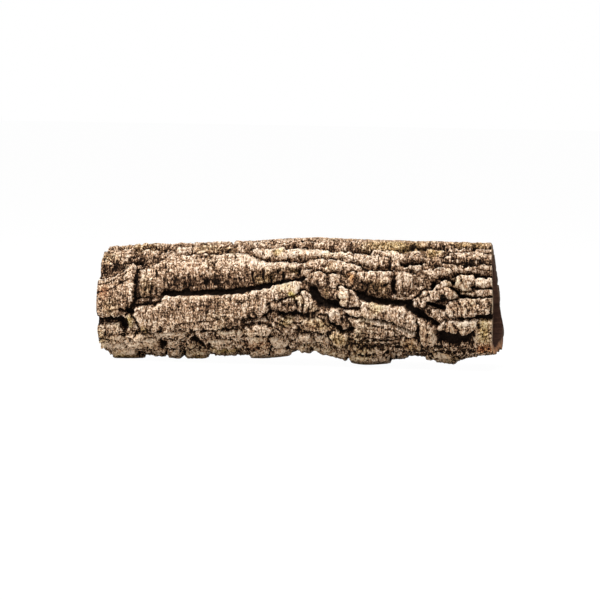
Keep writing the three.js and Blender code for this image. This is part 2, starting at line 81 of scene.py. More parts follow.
# Plates standing above the furrow floor: (rise, edge width, outline).
barkPlates = [
    # Upper left roll in two lobes, and the skyline plates along the top.
    (10.5, 9, [(-212, 78), (-168, 80), (-166, 60), (-168, 51), (-176, 42), (-186, 37.5), (-212, 33)]),
    (9, 8, [(-164, 79), (-140, 73), (-139, 59), (-142, 46), (-150, 43), (-156, 46), (-162, 59)]),
    (10, 5, [(-212, 110), (-70, 112), (-70, 82), (-125, 77), (-150, 81), (-212, 83)]),
    (10, 5, [(-126, 74), (-70, 79), (-50, 75), (-50, 66), (-66, 64), (-100, 62), (-122, 62)]),
    (8, 4, [(-134, 57), (-124, 57), (-123, 67), (-136, 68)]),
    (10.5, 5, [(-68, 108), (-68, 81), (-48, 79), (-46, 108)]),
    # Left end roll with its steep right wall.
    (12.5, 9, [(-212, 26), (-200, 29), (-183, 34.5), (-170, 41.5), (-163, 45.5), (-160.5, 41),
        (-160.5, 2), (-164, -3), (-176, -4), (-178, -10), (-188, -11.5), (-212, -11)]),
    # Big upper roll.
    (11.5, 15, [(-159, 41), (-149, 43), (-140, 50), (-134, 60), (-125, 61), (-100, 61), (-78, 61),
        (-60, 63), (-45, 59), (-35, 51), (-27, 48.5), (0, 46.5), (9.5, 45.5), (10.5, 27), (0, 25),
        (-9, 24), (-20, 22.5), (-30, 20.5), (-40, 19), (-60, 16), (-80, 15), (-100, 15.5), (-115, 13),
        (-128, 9.5), (-133, 6), (-147, 4), (-159, 3)]),
    # Thin plates between the big upper roll and the top ridge.
    (10.5, 4, [(-45, 67), (-43, 60), (-34, 53), (-27, 50), (-8, 49.5), (10, 48), (20, 50), (36, 51),
        (36, 58), (28, 61), (10, 62.5), (-6, 63), (-20, 67)]),
    (11.5, 8, [(-50, 112), (-48, 71), (-20, 69), (-6, 68), (8, 67.5), (30, 67), (50, 65), (75, 66),
        (100, 67), (127, 75), (150, 73), (212, 71.5), (212, 112)]),
    (9, 4, [(38, 60), (39, 53), (50, 52), (71, 50), (71, 59.5), (50, 61)]),
    (9, 5, [(12, 46.5), (30, 49), (46, 49), (63, 47), (70, 41), (66, 36), (50, 36), (38, 33), (20, 37),
        (12, 36)]),
    (10.5, 6, [(71, 55), (80, 57), (97, 55), (98, 45), (88, 43), (78, 43.5), (71, 47)]),
    (9.5, 5, [(78, 65), (105, 65), (112, 57), (110, 46), (100, 43.5), (99, 56), (80, 59)]),
    (9, 4, [(114, 53), (123, 50), (131, 62), (127, 68), (113, 64)]),
    (9.5, 5, [(134, 58), (150, 56), (154, 67), (135, 70)]),
    (10.5, 6, [(152, 57), (154, 52), (171, 51), (212, 50.5), (212, 62), (160, 63)]),
    (9, 4, [(156, 65), (212, 64.5), (212, 70), (156, 71)]),
    # Big middle roll: its top lip steps up towards the right.
    (13, 9, [(-159, -2), (-140, -1), (-132, 1), (-130, 10.5), (-110, 11.5), (-100, 12.5),
        (-95, 11.5), (-60, 11), (-42, 11.5), (-39, 14.5), (-22, 15), (-19.5, 19), (-10, 20.5), (8, 22),
        (11, 19), (10, 9), (5, 4), (-14, -1), (-22, -2), (-25, -11), (-38, -14), (-48, -17), (-50, -23),
        (-63, -25), (-82, -28.5), (-100, -27.5), (-112, -26), (-130, -29.5), (-139, -28), (-148, -33),
        (-154, -27), (-160, -15), (-162, -9)]),
    (11, 6, [(-22, -1), (-13, 2), (-3, 4.5), (4, 3), (6.5, -3), (5, -10.5), (-4, -9.5), (-20, -8)]),
    (11, 6, [(7, 3), (10, 9), (16, 10), (20, 6), (27, 2), (28, -8), (22, -13), (10, -11), (7, -6)]),
    # Lower left roll and the broken plates under the middle roll.
    (9.5, 8, [(-212, -21), (-177, -21), (-173.5, -29), (-172, -46), (-212, -47)]),
    (8, 4, [(-169, -12), (-164, -12), (-160, -20), (-155, -29), (-160, -32), (-168, -27), (-170, -20)]),
    (9.5, 5, [(-212, -49), (-171, -48), (-160, -34), (-150, -36), (-142, -44), (-143, -57), (-212, -59)]),
    (4, 6, [(-212, -62), (-193, -62), (-194, -92), (-212, -98)]),
    (14, 9, [(-190, -62), (-178, -60), (-167, -61), (-160, -72), (-157, -86), (-163, -100), (-174, -108),
        (-188, -105), (-194, -92), (-192, -76)]),
    (9, 6, [(-158, -60), (-133, -62), (-132, -76), (-136, -90), (-148, -96), (-155, -84)]),
    (12.5, 7, [(-130, -62), (-119, -61), (-116, -76), (-118, -92), (-124, -101), (-131, -93), (-133, -78)]),
    (11.5, 8, [(-113, -66), (-92, -64), (-88, -76), (-92, -92), (-104, -100), (-113, -92), (-116, -78)]),
    (9, 4, [(-141, -31), (-128, -32), (-118, -29), (-108, -30), (-107, -37), (-118, -42), (-139, -39)]),
    (7, 5, [(-127, -46), (-110, -40), (-108, -60), (-126, -60)]),
    (8, 3, [(-98, -31), (-84, -31), (-83, -38), (-92, -40), (-98, -38)]),
    (9.5, 4, [(-86, -42), (-76, -41), (-65, -44), (-60, -50), (-61, -57), (-80, -56)]),
    (8.5, 4, [(-80, -31), (-62, -28), (-52, -28), (-50, -36), (-55, -44), (-66, -41)]),
    (8.5, 7, [(-84, -60), (-60, -60), (-57, -75), (-62, -90), (-74, -99), (-86, -92), (-88, -76)]),
    (11.5, 7, [(-48, -26), (-38, -22.5), (-24, -22), (-18, -28), (-22, -34), (-34, -34), (-44, -34)]),
    (8, 4, [(-47, -20), (-38, -16), (-26, -14), (-22, -20), (-38, -20.5), (-46, -24)]),
    (9.5, 6, [(-47, -41), (-40, -38), (-25, -39), (-24, -60), (-46, -60)]),
    (14, 10, [(-45, -61), (-26, -60), (-7, -62), (-3, -76), (-8, -92), (-20, -104), (-36, -107),
        (-47, -98), (-49, -78)]),
    (9.5, 6, [(-22, -40), (-8, -42), (-5, -59), (-22, -60)]),
    (9, 5, [(-20, -17), (-12, -16), (3, -22), (6, -30), (0, -38), (-14, -38), (-19, -30)]),
    (9, 6, [(9, -27), (16, -18.5), (30, -18.5), (38, -26), (36, -32), (26, -34), (13, -33)]),
    (10, 5, [(6, -38), (20, -39), (24, -52), (2, -51)]),
    (9, 5, [(23, -39), (38, -37), (40, -50), (36, -56), (26, -52)]),
    (11.5, 8, [(41, -29), (50, -26), (58, -29), (60.5, -36), (56, -43), (48, -47), (41, -44), (38, -36)]),
    (10.5, 5, [(2, -62), (14, -62), (17, -84), (3, -86)]),
    (10.5, 7, [(18, -63), (40, -66), (53, -65), (53, -80), (50, -96), (36, -105), (22, -98), (19, -80)]),
    # Crumbled middle of the front.
    (8.5, 4, [(11, 35), (18, 36), (18, 20), (11.5, 19)]),
    (8.5, 6, [(20, 36), (30, 34), (36, 30), (37, 20), (30, 16), (21, 17)]),
    (8.5, 5, [(38, 32), (49, 33), (49, 20), (44, 14), (38, 16)]),
    (9, 4, [(57, 37), (65, 37), (64, 23), (57, 24)]),
    (4.5, 5, [(30, 18), (39, 16), (41, 10), (39, 2), (31, 3)]),
    (12, 5, [(49, 18), (53, 20), (59.5, 17), (59.5, 0), (55, -2), (50, 0), (48, 8)]),
    (10.5, 6, [(59, 18), (66, 14), (70, 8), (71, 1), (60, 0)]),
    (9.5, 5, [(40, -4), (51, -3), (52, -18), (46, -20.5), (40, -17)]),
    (9, 4, [(52, -4), (70, -2), (78, -3), (80, -9), (60, -9)]),
    # Upper right roll, its two lobes parted by a crack.
    (12, 14, [(64, 44), (70, 40), (80, 39.5), (103.5, 41), (104, 10.5), (95, 9.5), (80, 10.5), (70, 13.5),
        (66, 20), (64.5, 30)]),
    (12, 14, [(103, 41), (118, 40), (128, 36), (127, 25), (126, 18), (119, 10), (112, 8), (105, 9)]),
    # Ridges running down to the right under the upper right roll.
    (12.5, 7, [(70, 7), (80, 4.5), (100, 4.5), (110, 1), (116, -1), (125, -4), (129, -10), (128, -23),
        (116, -19), (105, -15), (97, -12.5), (88, -10.5), (72, -8)]),
    (10.5, 6, [(60, -11), (80, -11), (97, -14.5), (113, -21), (127, -26), (127, -31), (110, -29.5),
        (75, -30.5), (67, -29), (60, -22)]),
    (10.5, 7, [(129, -10), (141, -11), (147, -17), (147.5, -38), (140, -39.5), (133, -38), (129, -31)]),
    (8, 5, [(110, -31), (126, -33), (132, -41), (131, -53), (114, -53), (109, -40)]),
    (5, 4, [(66, -34), (106, -33), (110, -40), (110, -47), (68, -47), (63, -40)]),
    (8, 3, [(66, -48), (111, -48), (111, -53), (66, -53)]),
    (14, 10, [(56, -63), (70, -60), (97, -62), (99, -80), (96, -97), (84, -108), (66, -108), (56, -96),
        (54, -78)]),
    (8, 5, [(97, -62), (111, -59), (112, -98), (99, -101)]),
    (5, 8, [(112, -60), (120, -58), (134, -58), (135, -76), (131, -95), (116, -105), (112, -98)]),
    (10.5, 8, [(141, -54), (152, -52), (161, -53), (163, -70), (161, -92), (154, -104), (145, -101),
        (141, -86)]),
    (5, 8, [(165, -56), (186, -52), (212, -50), (212, -100), (186, -98), (166, -88)]),
    # Diagonal ridge, and the plates around it.
    (13, 8, [(115, 5), (124, 8.5), (130, 13), (136, 18.5), (143, 20.5), (148, 27), (155, 32.5),
        (161, 31), (163, 25), (168, 17), (166, 12.5), (150, 9), (143, 8), (139, 2), (127, -1), (121, 2)]),
    (9.5, 5, [(141, -1), (157, -1), (158, -8.5), (150, -10.5), (144, -8)]),
    (9.5, 5, [(132, 43), (148, 47), (161, 46), (164, 40), (161, 36), (155, 37), (148, 33), (141, 32),
        (136, 37)]),
    (9, 4, [(117, 47), (130, 48), (131, 42.5), (119, 42)]),
    (11.5, 8, [(165, 35), (172, 39), (180, 40), (185, 35), (184, 29), (179, 22), (172, 20), (165, 27)]),
    (9, 4, [(185, 49.5), (212, 49.5), (212, 43), (186, 43)]),
    (10, 4, [(182, 32), (190, 34), (212, 34), (212, 24.5), (190, 23.5), (183, 25)]),
    (10.5, 5, [(181, 21), (190, 22), (212, 22), (212, 12.5), (187, 12.5)]),
    # Right end block, the plate under it and the smooth bark below.
    (12.5, 9, [(157, 4), (161, 9), (168, 11.5), (212, 11.5), (212, -6.5), (178, -8), (171, -9.5),
        (160, -8.5), (156.5, -3)]),
    (11.5, 5, [(147, -17), (152, -13), (160, -11), (212, -11.5), (212, -47), (186, -47), (182, -37),
        (184, -24), (165, -24), (155, -23), (148, -21.5)]),
    (5, 4, [(150, -42), (165, -44), (181, -42), (184, -51), (150, -51)]),
]

# Holes sunk below the furrow floor: (depth, edge width, outline).
barkPockets = [
    (1.5, 3, [(147, -24), (183, -25), (182, -40), (150, -40)]),
    (1.5, 4, [(20, 14), (30, 2), (48, -3), (50, 8), (44, 15), (40, 12), (30, 20)]),
    (1.5, 3, [(-167, 48), (-155, 50), (-156, 57), (-166, 57)]),
    (1.5, 4, [(-108, -38), (-96, -40), (-85, -42), (-84, -58), (-106, -60)]),
    (1.5, 3, [(168, 38), (184, 38), (184, 43), (170, 43)]),
    (1.5, 3, [(141, 1), (156, 1), (156, 7), (144, 7)]),
    (1.5, 3, [(121, -1), (130, -7), (144, -11), (146, -14), (130, -12), (121, -5)]),
]

# Rolls with a full round underside, by their first point: (upper edge, underside) in mm.
roundRolls = {(-159, 41): (8, 28), (64, 44): (8, 24), (103, 41): (8, 24), (-212, 78): (8, 22),
              (-164, 79): (8, 18)}

# Cracks drawn on the plates: (half width, depth, points).
barkCracks = [
    # Left end roll: growth lines rising to the right, and the gap along its steep wall.
    (0.8, 2.0, [(-199, 22), (-191, 24), (-185, 25), (-178, 30), (-172, 33), (-166, 37)]),
    (0.8, 1.6, [(-199, 14), (-185, 16.5), (-178, 21), (-168, 26)]),
    (0.8, 1.4, [(-190, 28), (-180, 32), (-170, 39)]),
    (0.7, 1.2, [(-198, 7), (-182, 11), (-168, 16)]),
    (0.7, 1.2, [(-196, 1), (-184, 2), (-170, 8)]),
    (1.1, 3.0, [(-160, 41), (-160.5, 22), (-160.5, 4)]),
    # Big upper roll.
    (0.8, 1.4, [(-150, 38), (-149, 24), (-150, 10)]),
    (1.0, 2.4, [(-139, 36), (-138.5, 29)]),
    (0.8, 1.2, [(-131, 44), (-129, 30), (-129.5, 14)]),
    (1.0, 1.6, [(-86, 44), (-86, 38)]),
    (0.9, 1.4, [(-81, 42), (-80.5, 36)]),
    (1.2, 3.0, [(-40, 34), (-40, 24)]),
    (1.2, 3.4, [(-29.5, 37), (-29.5, 29)]),
    (1.2, 3.4, [(-21.5, 31), (-21.5, 22)]),
    (1.2, 3.2, [(-9.5, 34), (-9.5, 24)]),
    (1.4, 3.2, [(6, 36), (7, 33)]),
    (0.8, 1.6, [(-100, 60), (-90, 60), (-78, 60)]),
    (0.9, 1.6, [(-63, 58), (-60, 54), (-59, 49)]),
    (1.2, 3.0, [(-70, 65), (-62, 69), (-55, 73), (-48, 75.5)]),
    (0.9, 2.0, [(-47, 73), (-40, 69)]),
    (1.0, 1.8, [(-46, 54), (-43, 54.5)]),
    # Thin plates over it, and the oval plate to their right.
    (1.1, 3.2, [(-43, 60), (-38, 56), (-33, 52), (-27, 49), (-18, 49), (-8, 48.5), (0, 47), (12, 46.5),
        (22, 47)]),
    (0.9, 2.2, [(37, 51.5), (44, 51)]),
    (0.9, 2.4, [(54, 47), (62, 46.5)]),
    (1.1, 3.0, [(62, 47.5), (67, 47.5), (71, 44), (76, 42), (82, 41.5), (100, 41.5)]),
    (0.8, 1.6, [(-8, 69), (-8, 60)]),
    # Middle roll.
    (1.1, 3.0, [(-60, 11), (-60.5, 3)]),
    (1.0, 2.2, [(-52.5, 0.5), (-50.5, 3.5)]),
    (1.0, 2.4, [(-49, 1), (-46, 3.5)]),
    (0.7, 1.3, [(-41, 9), (-41, -2), (-42, -8)]),
    (0.9, 2.0, [(-85, -2), (-84.5, -7), (-85.5, -13)]),
    (0.9, 1.6, [(-113, -19), (-100, -18.5), (-90, -17.5), (-78, -17)]),
    (1.0, 2.2, [(-38, -14.5), (-32, -13), (-25, -12.3)]),
    (1.1, 2.8, [(-22, -8), (-13, -9), (-8, -10)]),
    (0.9, 2.0, [(-14, -1), (-10, 1.5), (-3, 4), (3, 3), (5, 0), (7, -6)]),
    (0.8, 1.4, [(-7, -1), (-4, -6)]),
    (0.9, 1.8, [(9, 8), (13, 2), (14, -5), (12, -11)]),
    (0.9, 1.8, [(15, 8), (19, 2), (20, -4), (18, -10)]),
    (0.8, 1.6, [(-15, 8), (-8, 9), (0, 7)]),
    # Upper right roll.
    (1.4, 4.0, [(104, 29), (103.5, 20), (105, 13)]),
    (1.2, 3.0, [(95, 22.5), (100, 24.5), (103.5, 23)]),
    # Ridges under it.
    (0.9, 2.4, [(56, -9), (66, -10), (78, -9.5)]),
    (1.0, 2.6, [(80, -10), (88, -12), (97, -14.5), (105, -17.5), (113, -20.5), (126, -24.5)]),
    (0.8, 1.5, [(72, -14), (84, -17), (100, -21), (112, -25)]),
    (0.8, 1.3, [(74, 2), (84, -3), (96, -6)]),
    # Around the crumbled middle and below it.
    (1.1, 3.0, [(6, -33), (14, -36), (22, -35), (30, -36.5), (37, -38)]),
    (0.9, 1.6, [(-18, -20), (-10, -24), (-3, -30), (0, -36)]),
    (0.9, 1.6, [(-14, -18), (-5, -22), (1, -28), (3, -33)]),
    (0.9, 1.6, [(-20, -25), (-13, -29), (-8, -35)]),
    (0.8, 1.3, [(44, -30), (47, -36)]),
    (0.8, 1.3, [(42, -33), (46, -39)]),
    (0.8, 1.3, [(48, -28), (50, -36)]),
    (0.8, 1.3, [(54, -30), (52, -37)]),
    # Layers in the hollow under the lower right ridge.
    (0.9, 2.6, [(66, -35), (106, -34)]),
    (0.9, 2.6, [(65, -38.5), (108, -37.5)]),
    (0.9, 2.6, [(65, -42), (109, -41.5)]),
    (0.9, 2.6, [(67, -45.5), (110, -45)]),
    # Lower left.
    (0.9, 2.0, [(-199, -48), (-185, -49), (-172, -47), (-160, -44), (-148, -45)]),
    (0.9, 2.0, [(-195, -54), (-180, -55), (-165, -52), (-150, -53)]),
    (0.8, 1.4, [(-160, -39), (-150, -40), (-143, -42)]),
    # Right part.
    (1.1, 3.0, [(116, -33), (126, -33), (131, -37), (136, -40), (147, -42)]),
    (1.0, 2.4, [(128.5, -12), (129, -22), (130, -31)]),
    (0.8, 1.2, [(138, -14), (139, -24), (137, -34)]),
    (0.9, 2.4, [(152, 52.5), (160, 51), (170, 50)]),
    (0.9, 2.6, [(172, 53), (180, 54.5), (190, 53.5), (200, 53.5)]),
    (0.8, 2.2, [(180, 49), (200, 49)]),
    (1.1, 3.4, [(181, 25), (186, 23), (192, 22.5), (200, 24)]),
    (1.2, 3.2, [(127, 72), (134, 72)]),
    (1.0, 2.8, [(155, 65), (172, 64.5), (200, 64)]),
    (1.7, 4.0, [(115, 49), (124, 49.5), (131, 54)]),
    # Leaf-like cracks on the right end block, the diagonal ridge and the plates over them.
    (0.9, 2.0, [(159.5, 6), (164, 0), (165, -5)]),
    (0.9, 2.0, [(163, 9), (168, 2), (169, -5)]),
    (1.0, 2.4, [(167, 10), (172, 1), (173, -5)]),
    (0.9, 1.8, [(175, 10), (181, 2), (182, -4)]),
    (0.8, 1.6, [(186, 9), (190, 0)]),
    (0.9, 1.8, [(196, 10), (199, 1), (198, -5)]),
    (0.8, 1.8, [(126, 11), (130, 5), (131, 1)]),
    (0.8, 1.8, [(138, 18), (141, 11), (142, 7)]),
    (0.9, 1.8, [(150, 28), (155, 20), (158, 12)]),
    (0.8, 1.6, [(158, 30), (162, 22), (164, 14)]),
    (0.8, 1.6, [(119, 5), (130, 8), (141, 14), (151, 20), (161, 24)]),
    (0.9, 1.8, [(169, 38), (171, 30), (175, 23)]),
    (0.8, 1.6, [(177, 39), (178, 31), (182, 25)]),
    (0.8, 1.4, [(74, 38), (75, 26), (77, 15)]),
    (0.8, 1.4, [(86, 39), (87, 26), (88, 13)]),
    (0.8, 1.4, [(112, 38), (113, 24), (114, 13)]),
    (0.8, 1.4, [(120, 36), (121, 24), (121, 15)]),
    (1.0, 2.6, [(163, -13), (167, -18), (169, -22)]),
    (1.0, 2.4, [(186, -14), (188, -20)]),
    (1.0, 2.2, [(128, 14), (134, 6)]),
    (1.0, 2.0, [(146, 24), (152, 14)]),
]

# Deep hollows between the plates, sunk in the relief and painted dark as shade: (reach, points).
darkHollows = [
    (3.4, [(-130, 12.5), (-115, 12.5), (-90, 12.5), (-70, 13), (-50, 15.5), (-35, 19), (-20, 21), (0, 23),
           (12, 25)]),
    (3.2, [(69, 13), (80, 8.5), (95, 5.5), (118, 4)]),
    (4.0, [(121, -1), (121, 5)]),
    (3.0, [(122, 1), (130, -6), (138, -11), (147, -15)]),
    (5.0, [(153, -27), (165, -27.5), (177, -28)]),
    (4.5, [(154, -34), (166, -36)]),
    (3.0, [(168, -32), (175, -35)]),
    (4.5, [(23, 12), (26, 4), (33, -2), (46, -1)]),
    (3.6, [(-163, 52), (-158, 53)]),
    (3.0, [(168, 40.5), (184, 39.5)]),
    (2.8, [(110, 49), (116, 49.5), (123, 51), (130, 53)]),
    (2.6, [(143, 25), (144, 30)]),
    (2.4, [(152, 35), (158, 33.5), (164, 31)]),
    (2.8, [(142, 6), (149, 3), (155, 1)]),
    (2.4, [(170, -8), (180, -9.5), (200, -11)]),
    (3.4, [(-200, -16), (-186, -15), (-175, -15.5), (-171, -20), (-171, -26)]),
    (3.0, [(-173, -5), (-165, -7.5)]),
    (5.0, [(-101, -44), (-96, -50), (-92, -56)]),
    (4.0, [(-134, -47), (-134, -56)]),
    (1.6, [(-146, -33.5), (-142, -33.5)]),
    (2.2, [(-48, -37), (-42, -37)]),
    (3.0, [(-10, -13), (2, -13), (15, -15)]),
    (2.8, [(42, -22), (50, -24)]),
    (2.2, [(52, -29), (56, -25), (62, -22.5)]),
    (3.4, [(66, -55), (88, -56.5), (110, -56)]),
    (2.8, [(6, -56), (15, -57)]),
    (2.4, [(-8, 62.5), (8, 62.5), (30, 62), (52, 62.5), (75, 64)]),
    (1.8, [(127, 72), (134, 72)]),
    (2.8, [(187, 37), (200, 37.5)]),
    (2.0, [(162, 24), (170, 15), (185, 12)]),
]

# Where the plates lie nearly flush with each other: (x, angle, reach along, reach round, rise in mm).
flushAreas = [
    (20, 57, 80, 9, 2.8),
    (165, 58, 46, 12, 2.6),
    (110, 54, 30, 12, 2.2),
    (-100, 66, 60, 8, 2.8),
    (185, 18, 20, 8, 1.4),
    (-165, -42, 46, 14, 2.4),
    (-110, -48, 30, 8, 1.6),
    (-30, -45, 40, 14, 1.2),
    (-10, -2, 20, 9, 2.4),
    (4, 2, 16, 10, 3.0),
]

# Long ridges on the hidden back, laid out from a fixed seed, as on the solid.
backRidges = {"from": 112, "to": 252, "seed": 41, "reach": 212, "shortest": 45, "spread": 85,
              "rows": [28, 15, 31, 24, 17, 25]}

# Patches of colour: (x, angle, reach along, reach round, colour, strength).
stainPatches = [
    # Green and olive algae.
    (-178, -72, 16, 10, (0.30, 0.30, 0.12), 0.7),
    (-165, -19, 5, 8, (0.38, 0.36, 0.14), 0.8),
    (-152, -27, 5, 6, (0.40, 0.36, 0.14), 0.5),
    (-100, -78, 9, 12, (0.28, 0.27, 0.11), 0.7),
    (-71, -62, 16, 8, (0.27, 0.28, 0.12), 0.8),
    (-16, 58, 6, 6, (0.45, 0.42, 0.18), 0.6),
    (3, 6, 5, 4, (0.50, 0.48, 0.14), 0.9),
    (-5, -22, 9, 6, (0.24, 0.26, 0.12), 0.6),
    (33, -24, 10, 6, (0.22, 0.19, 0.09), 0.6),
    (35, 10, 6, 9, (0.16, 0.15, 0.09), 0.8),
    (100, 72, 40, 10, (0.30, 0.28, 0.13), 0.7),
    (143, 63, 11, 6, (0.42, 0.36, 0.18), 0.7),
    (180, 78, 24, 8, (0.27, 0.25, 0.12), 0.6),
    (86, 22, 18, 8, (0.20, 0.17, 0.10), 0.7),
    (50, -36, 11, 9, (0.27, 0.25, 0.12), 0.6),
    (195, -24, 8, 14, (0.42, 0.38, 0.16), 0.7),
    (-186, 2, 10, 8, (0.40, 0.33, 0.17), 0.3),
    (-30, 28, 12, 6, (0.22, 0.20, 0.11), 0.5),
    (3, 34, 8, 4, (0.25, 0.22, 0.11), 0.6),
    (53, 31, 4, 4, (0.20, 0.18, 0.09), 0.8),
    (-150, 18, 8, 14, (0.27, 0.24, 0.14), 0.5),
    # Rust and fresh cork.
    (60, 30, 4, 7, (0.62, 0.38, 0.20), 0.8),
    (197, -46, 12, 11, (0.72, 0.34, 0.18), 0.9),
    (118, -40, 9, 8, (0.50, 0.36, 0.20), 0.5),
    (-192, 15, 7, 9, (0.42, 0.24, 0.15), 0.6),
    # Pinkish brown bare bark.
    (-36, -50, 12, 11, (0.33, 0.22, 0.17), 0.8),
    (-150, -52, 14, 6, (0.55, 0.42, 0.33), 0.6),
    (24, -26, 12, 6, (0.22, 0.16, 0.11), 0.6),
    (135, -25, 8, 14, (0.33, 0.25, 0.19), 0.5),
    (160, 18, 7, 6, (0.44, 0.34, 0.28), 0.6),
    (-96, 8, 16, 3, (0.72, 0.56, 0.44), 0.5),
    # Pale crust.
    (54, 8, 6, 9, (0.78, 0.66, 0.52), 0.8),
    (92, 1, 10, 6, (0.74, 0.66, 0.54), 0.6),
    (-4, 14, 14, 6, (0.74, 0.63, 0.50), 0.6),
    (-80, -46, 6, 5, (0.76, 0.68, 0.60), 0.7),
    (-128, -37, 8, 4, (0.74, 0.66, 0.60), 0.7),
    (104, 12, 3, 2.5, (0.90, 0.84, 0.78), 0.9),
    (124, 6, 6, 4, (0.80, 0.74, 0.68), 0.7),
    (40, 56, 10, 4, (0.78, 0.70, 0.60), 0.7),
    (165, -19, 14, 5, (0.72, 0.60, 0.46), 0.5),
    (175, 3, 16, 7, (0.66, 0.54, 0.42), 0.4),
]

# Paler and darker stretches, partly the bark's own tone and partly painted light and shade, paler low on
# the tube and darker under the rolls: (x, angle, reach along, reach round, change).
toneLightAndShadePatches = [
    (-175, -52, 40, 18, 0.36),
    (-120, -44, 46, 16, 0.18),
    (-60, -50, 40, 14, 0.13),
    (-10, -45, 40, 14, 0.10),
    (30, -44, 30, 14, 0.08),
    (96, -40, 28, 9, 0.10),
    (-170, 14, 34, 16, -0.05),
    (-90, 22, 52, 7, -0.10),
    (-120, -4, 56, 11, -0.15),
    (-60, 8, 40, 7, -0.12),
    (-30, 30, 30, 6, -0.06),
    (90, 20, 30, 6, -0.08),
    (-90, 45, 60, 10, 0.05),
    (10, 50, 90, 14, 0.12),
    (130, 48, 60, 14, 0.12),
    (-20, 60, 50, 11, 0.15),
    (-20, 44, 44, 7, 0.20),
    (64, 46, 20, 7, 0.20),
    (95, 50, 24, 7, -0.22),
    (-133, 38, 16, 7, -0.14),
    (84, 37, 22, 5, 0.14),
    (-125, 68, 32, 9, 0.14),
    (75, 69, 50, 8, 0.14),
    (68, 38, 28, 6, 0.12),
    (-143, 17, 28, 9, 0.08),
    (-62, 0, 30, 8, -0.14),
    (62, -14, 10, 6, -0.16),
    (-155, -45, 20, 9, 0.14),
    (85, -58, 26, 7, -0.16),
    (150, -58, 14, 8, 0.20),
    (185, 47, 22, 8, 0.22),
    (-165, -24, 8, 8, 0.20),
    (150, 26, 50, 8, 0.06),
    (185, -20, 22, 14, -0.04),
    (165, -52, 30, 8, 0.04),
]


def seededNumbers(seed):
    state = seed
    while True:
        state = (state * 16807) % 2147483647
        yield state / 2147483647


def backPlates():
    numbers = seededNumbers(backRidges["seed"])
    reach = backRidges["reach"]
    found = []
    angle = backRidges["from"]
    for width in backRidges["rows"]:
        row = width * (backRidges["to"] - backRidges["from"]) / sum(backRidges["rows"])
        left = -reach
        while left < reach - 12:
            length = backRidges["shortest"] + backRidges["spread"] * next(numbers)
            right = reach if left + length > reach - 37 else left + length
            low = angle + 0.6 + 1.6 * next(numbers)
            high = angle + row - 1.2 - 1.8 * next(numbers)
            bend = 3.5 * (next(numbers) - 0.5)
            rise = 9.5 + 3.5 * next(numbers)
            slip = 3 * (next(numbers) - 0.5)
            middle = (left + right) / 2
            edge = 0.28 * row + 5 * next(numbers)
            found.append((rise, edge, [
                (left + 1, low + 2), (left + 9, low), (middle, low + bend), (right - 9, low + slip),
                (right - 1.5, low + 3), (right - 1, high - 3), (right - 10, high + slip),
                (middle, high + bend), (left + 8, high), (left + 1.5, high - 2)]))
            left = right
        angle += row
    return found


def smooth(t):
    # 0 below 0, 1 above 1, eased between them.
    t = np.clip(t, 0, 1)
    return t * t * (3 - 2 * t)


def along(table, share):
    # Eased steps between the table's stations.
    value = np.full(np.shape(share), float(table[0][1]))
    for (x0, v0), (x1, v1) in zip(table, table[1:]):
        value = np.where(share > x0, v0 + (v1 - v0) * smooth((share - x0) / (x1 - x0)), value)
    return value


def nearEnd(x):
    # 0 along the tube, 1 at its sawn ends.
    return smooth((abs(x) - tube["endsFrom"]) / (tube["length"] / 2 - tube["endsFrom"]))


def halfTurned(angle):
    # The same angle between -180 and 180.
    return np.where(angle > 180, angle - 360, angle)


def closed(values):
    # The first column once more at the end, where the tube meets itself.
    return np.concatenate([values, values[:, :1]], axis=1)


# The stretch along x that every noise covers, in mm.
noiseField = {"from": -256, "length": 520}


def cellGrid(x, angle, cellX, cellAngle, margin):
    # Rows and columns of a table of cells round the tube, and where each place lies in it.
    columns = max(int(round(360 / cellAngle)), 3)
    rows = int(noiseField["length"] / cellX) + 4 + 2 * margin
    gx = np.clip((x - noiseField["from"]) / cellX, margin, rows - 2 - margin)
    ga = (angle % 360) / 360 * columns
    return rows, columns, gx, ga, np.floor(gx).astype(int), np.floor(ga).astype(int)


def softNoise(x, angle, cellX, cellAngle, seed):
    # Smooth noise from -1 to 1 that closes on itself round the tube.
    rows, columns, gx, ga, ix, ia = cellGrid(x, angle, cellX, cellAngle, 0)
    table = np.random.RandomState(seed).uniform(-1, 1, (rows, columns))
    fx, fa = smooth(gx - ix), smooth(ga - ia)
    ia, nextA = ia % columns, (ia + 1) % columns
    low = table[ix, ia] * (1 - fx) + table[ix + 1, ia] * fx
    high = table[ix, nextA] * (1 - fx) + table[ix + 1, nextA] * fx
    return low * (1 - fa) + high * fa


def layeredNoise(x, angle, cellX, cellAngle, seed, octaves=3):
    total, size, amount = 0, 1.0, 1.0
    for octave in range(octaves):
        total = total + amount * softNoise(x, angle, cellX * size, cellAngle * size, seed + 17 * octave)
        size, amount = size * 0.5, amount * 0.55
    return total / 1.6


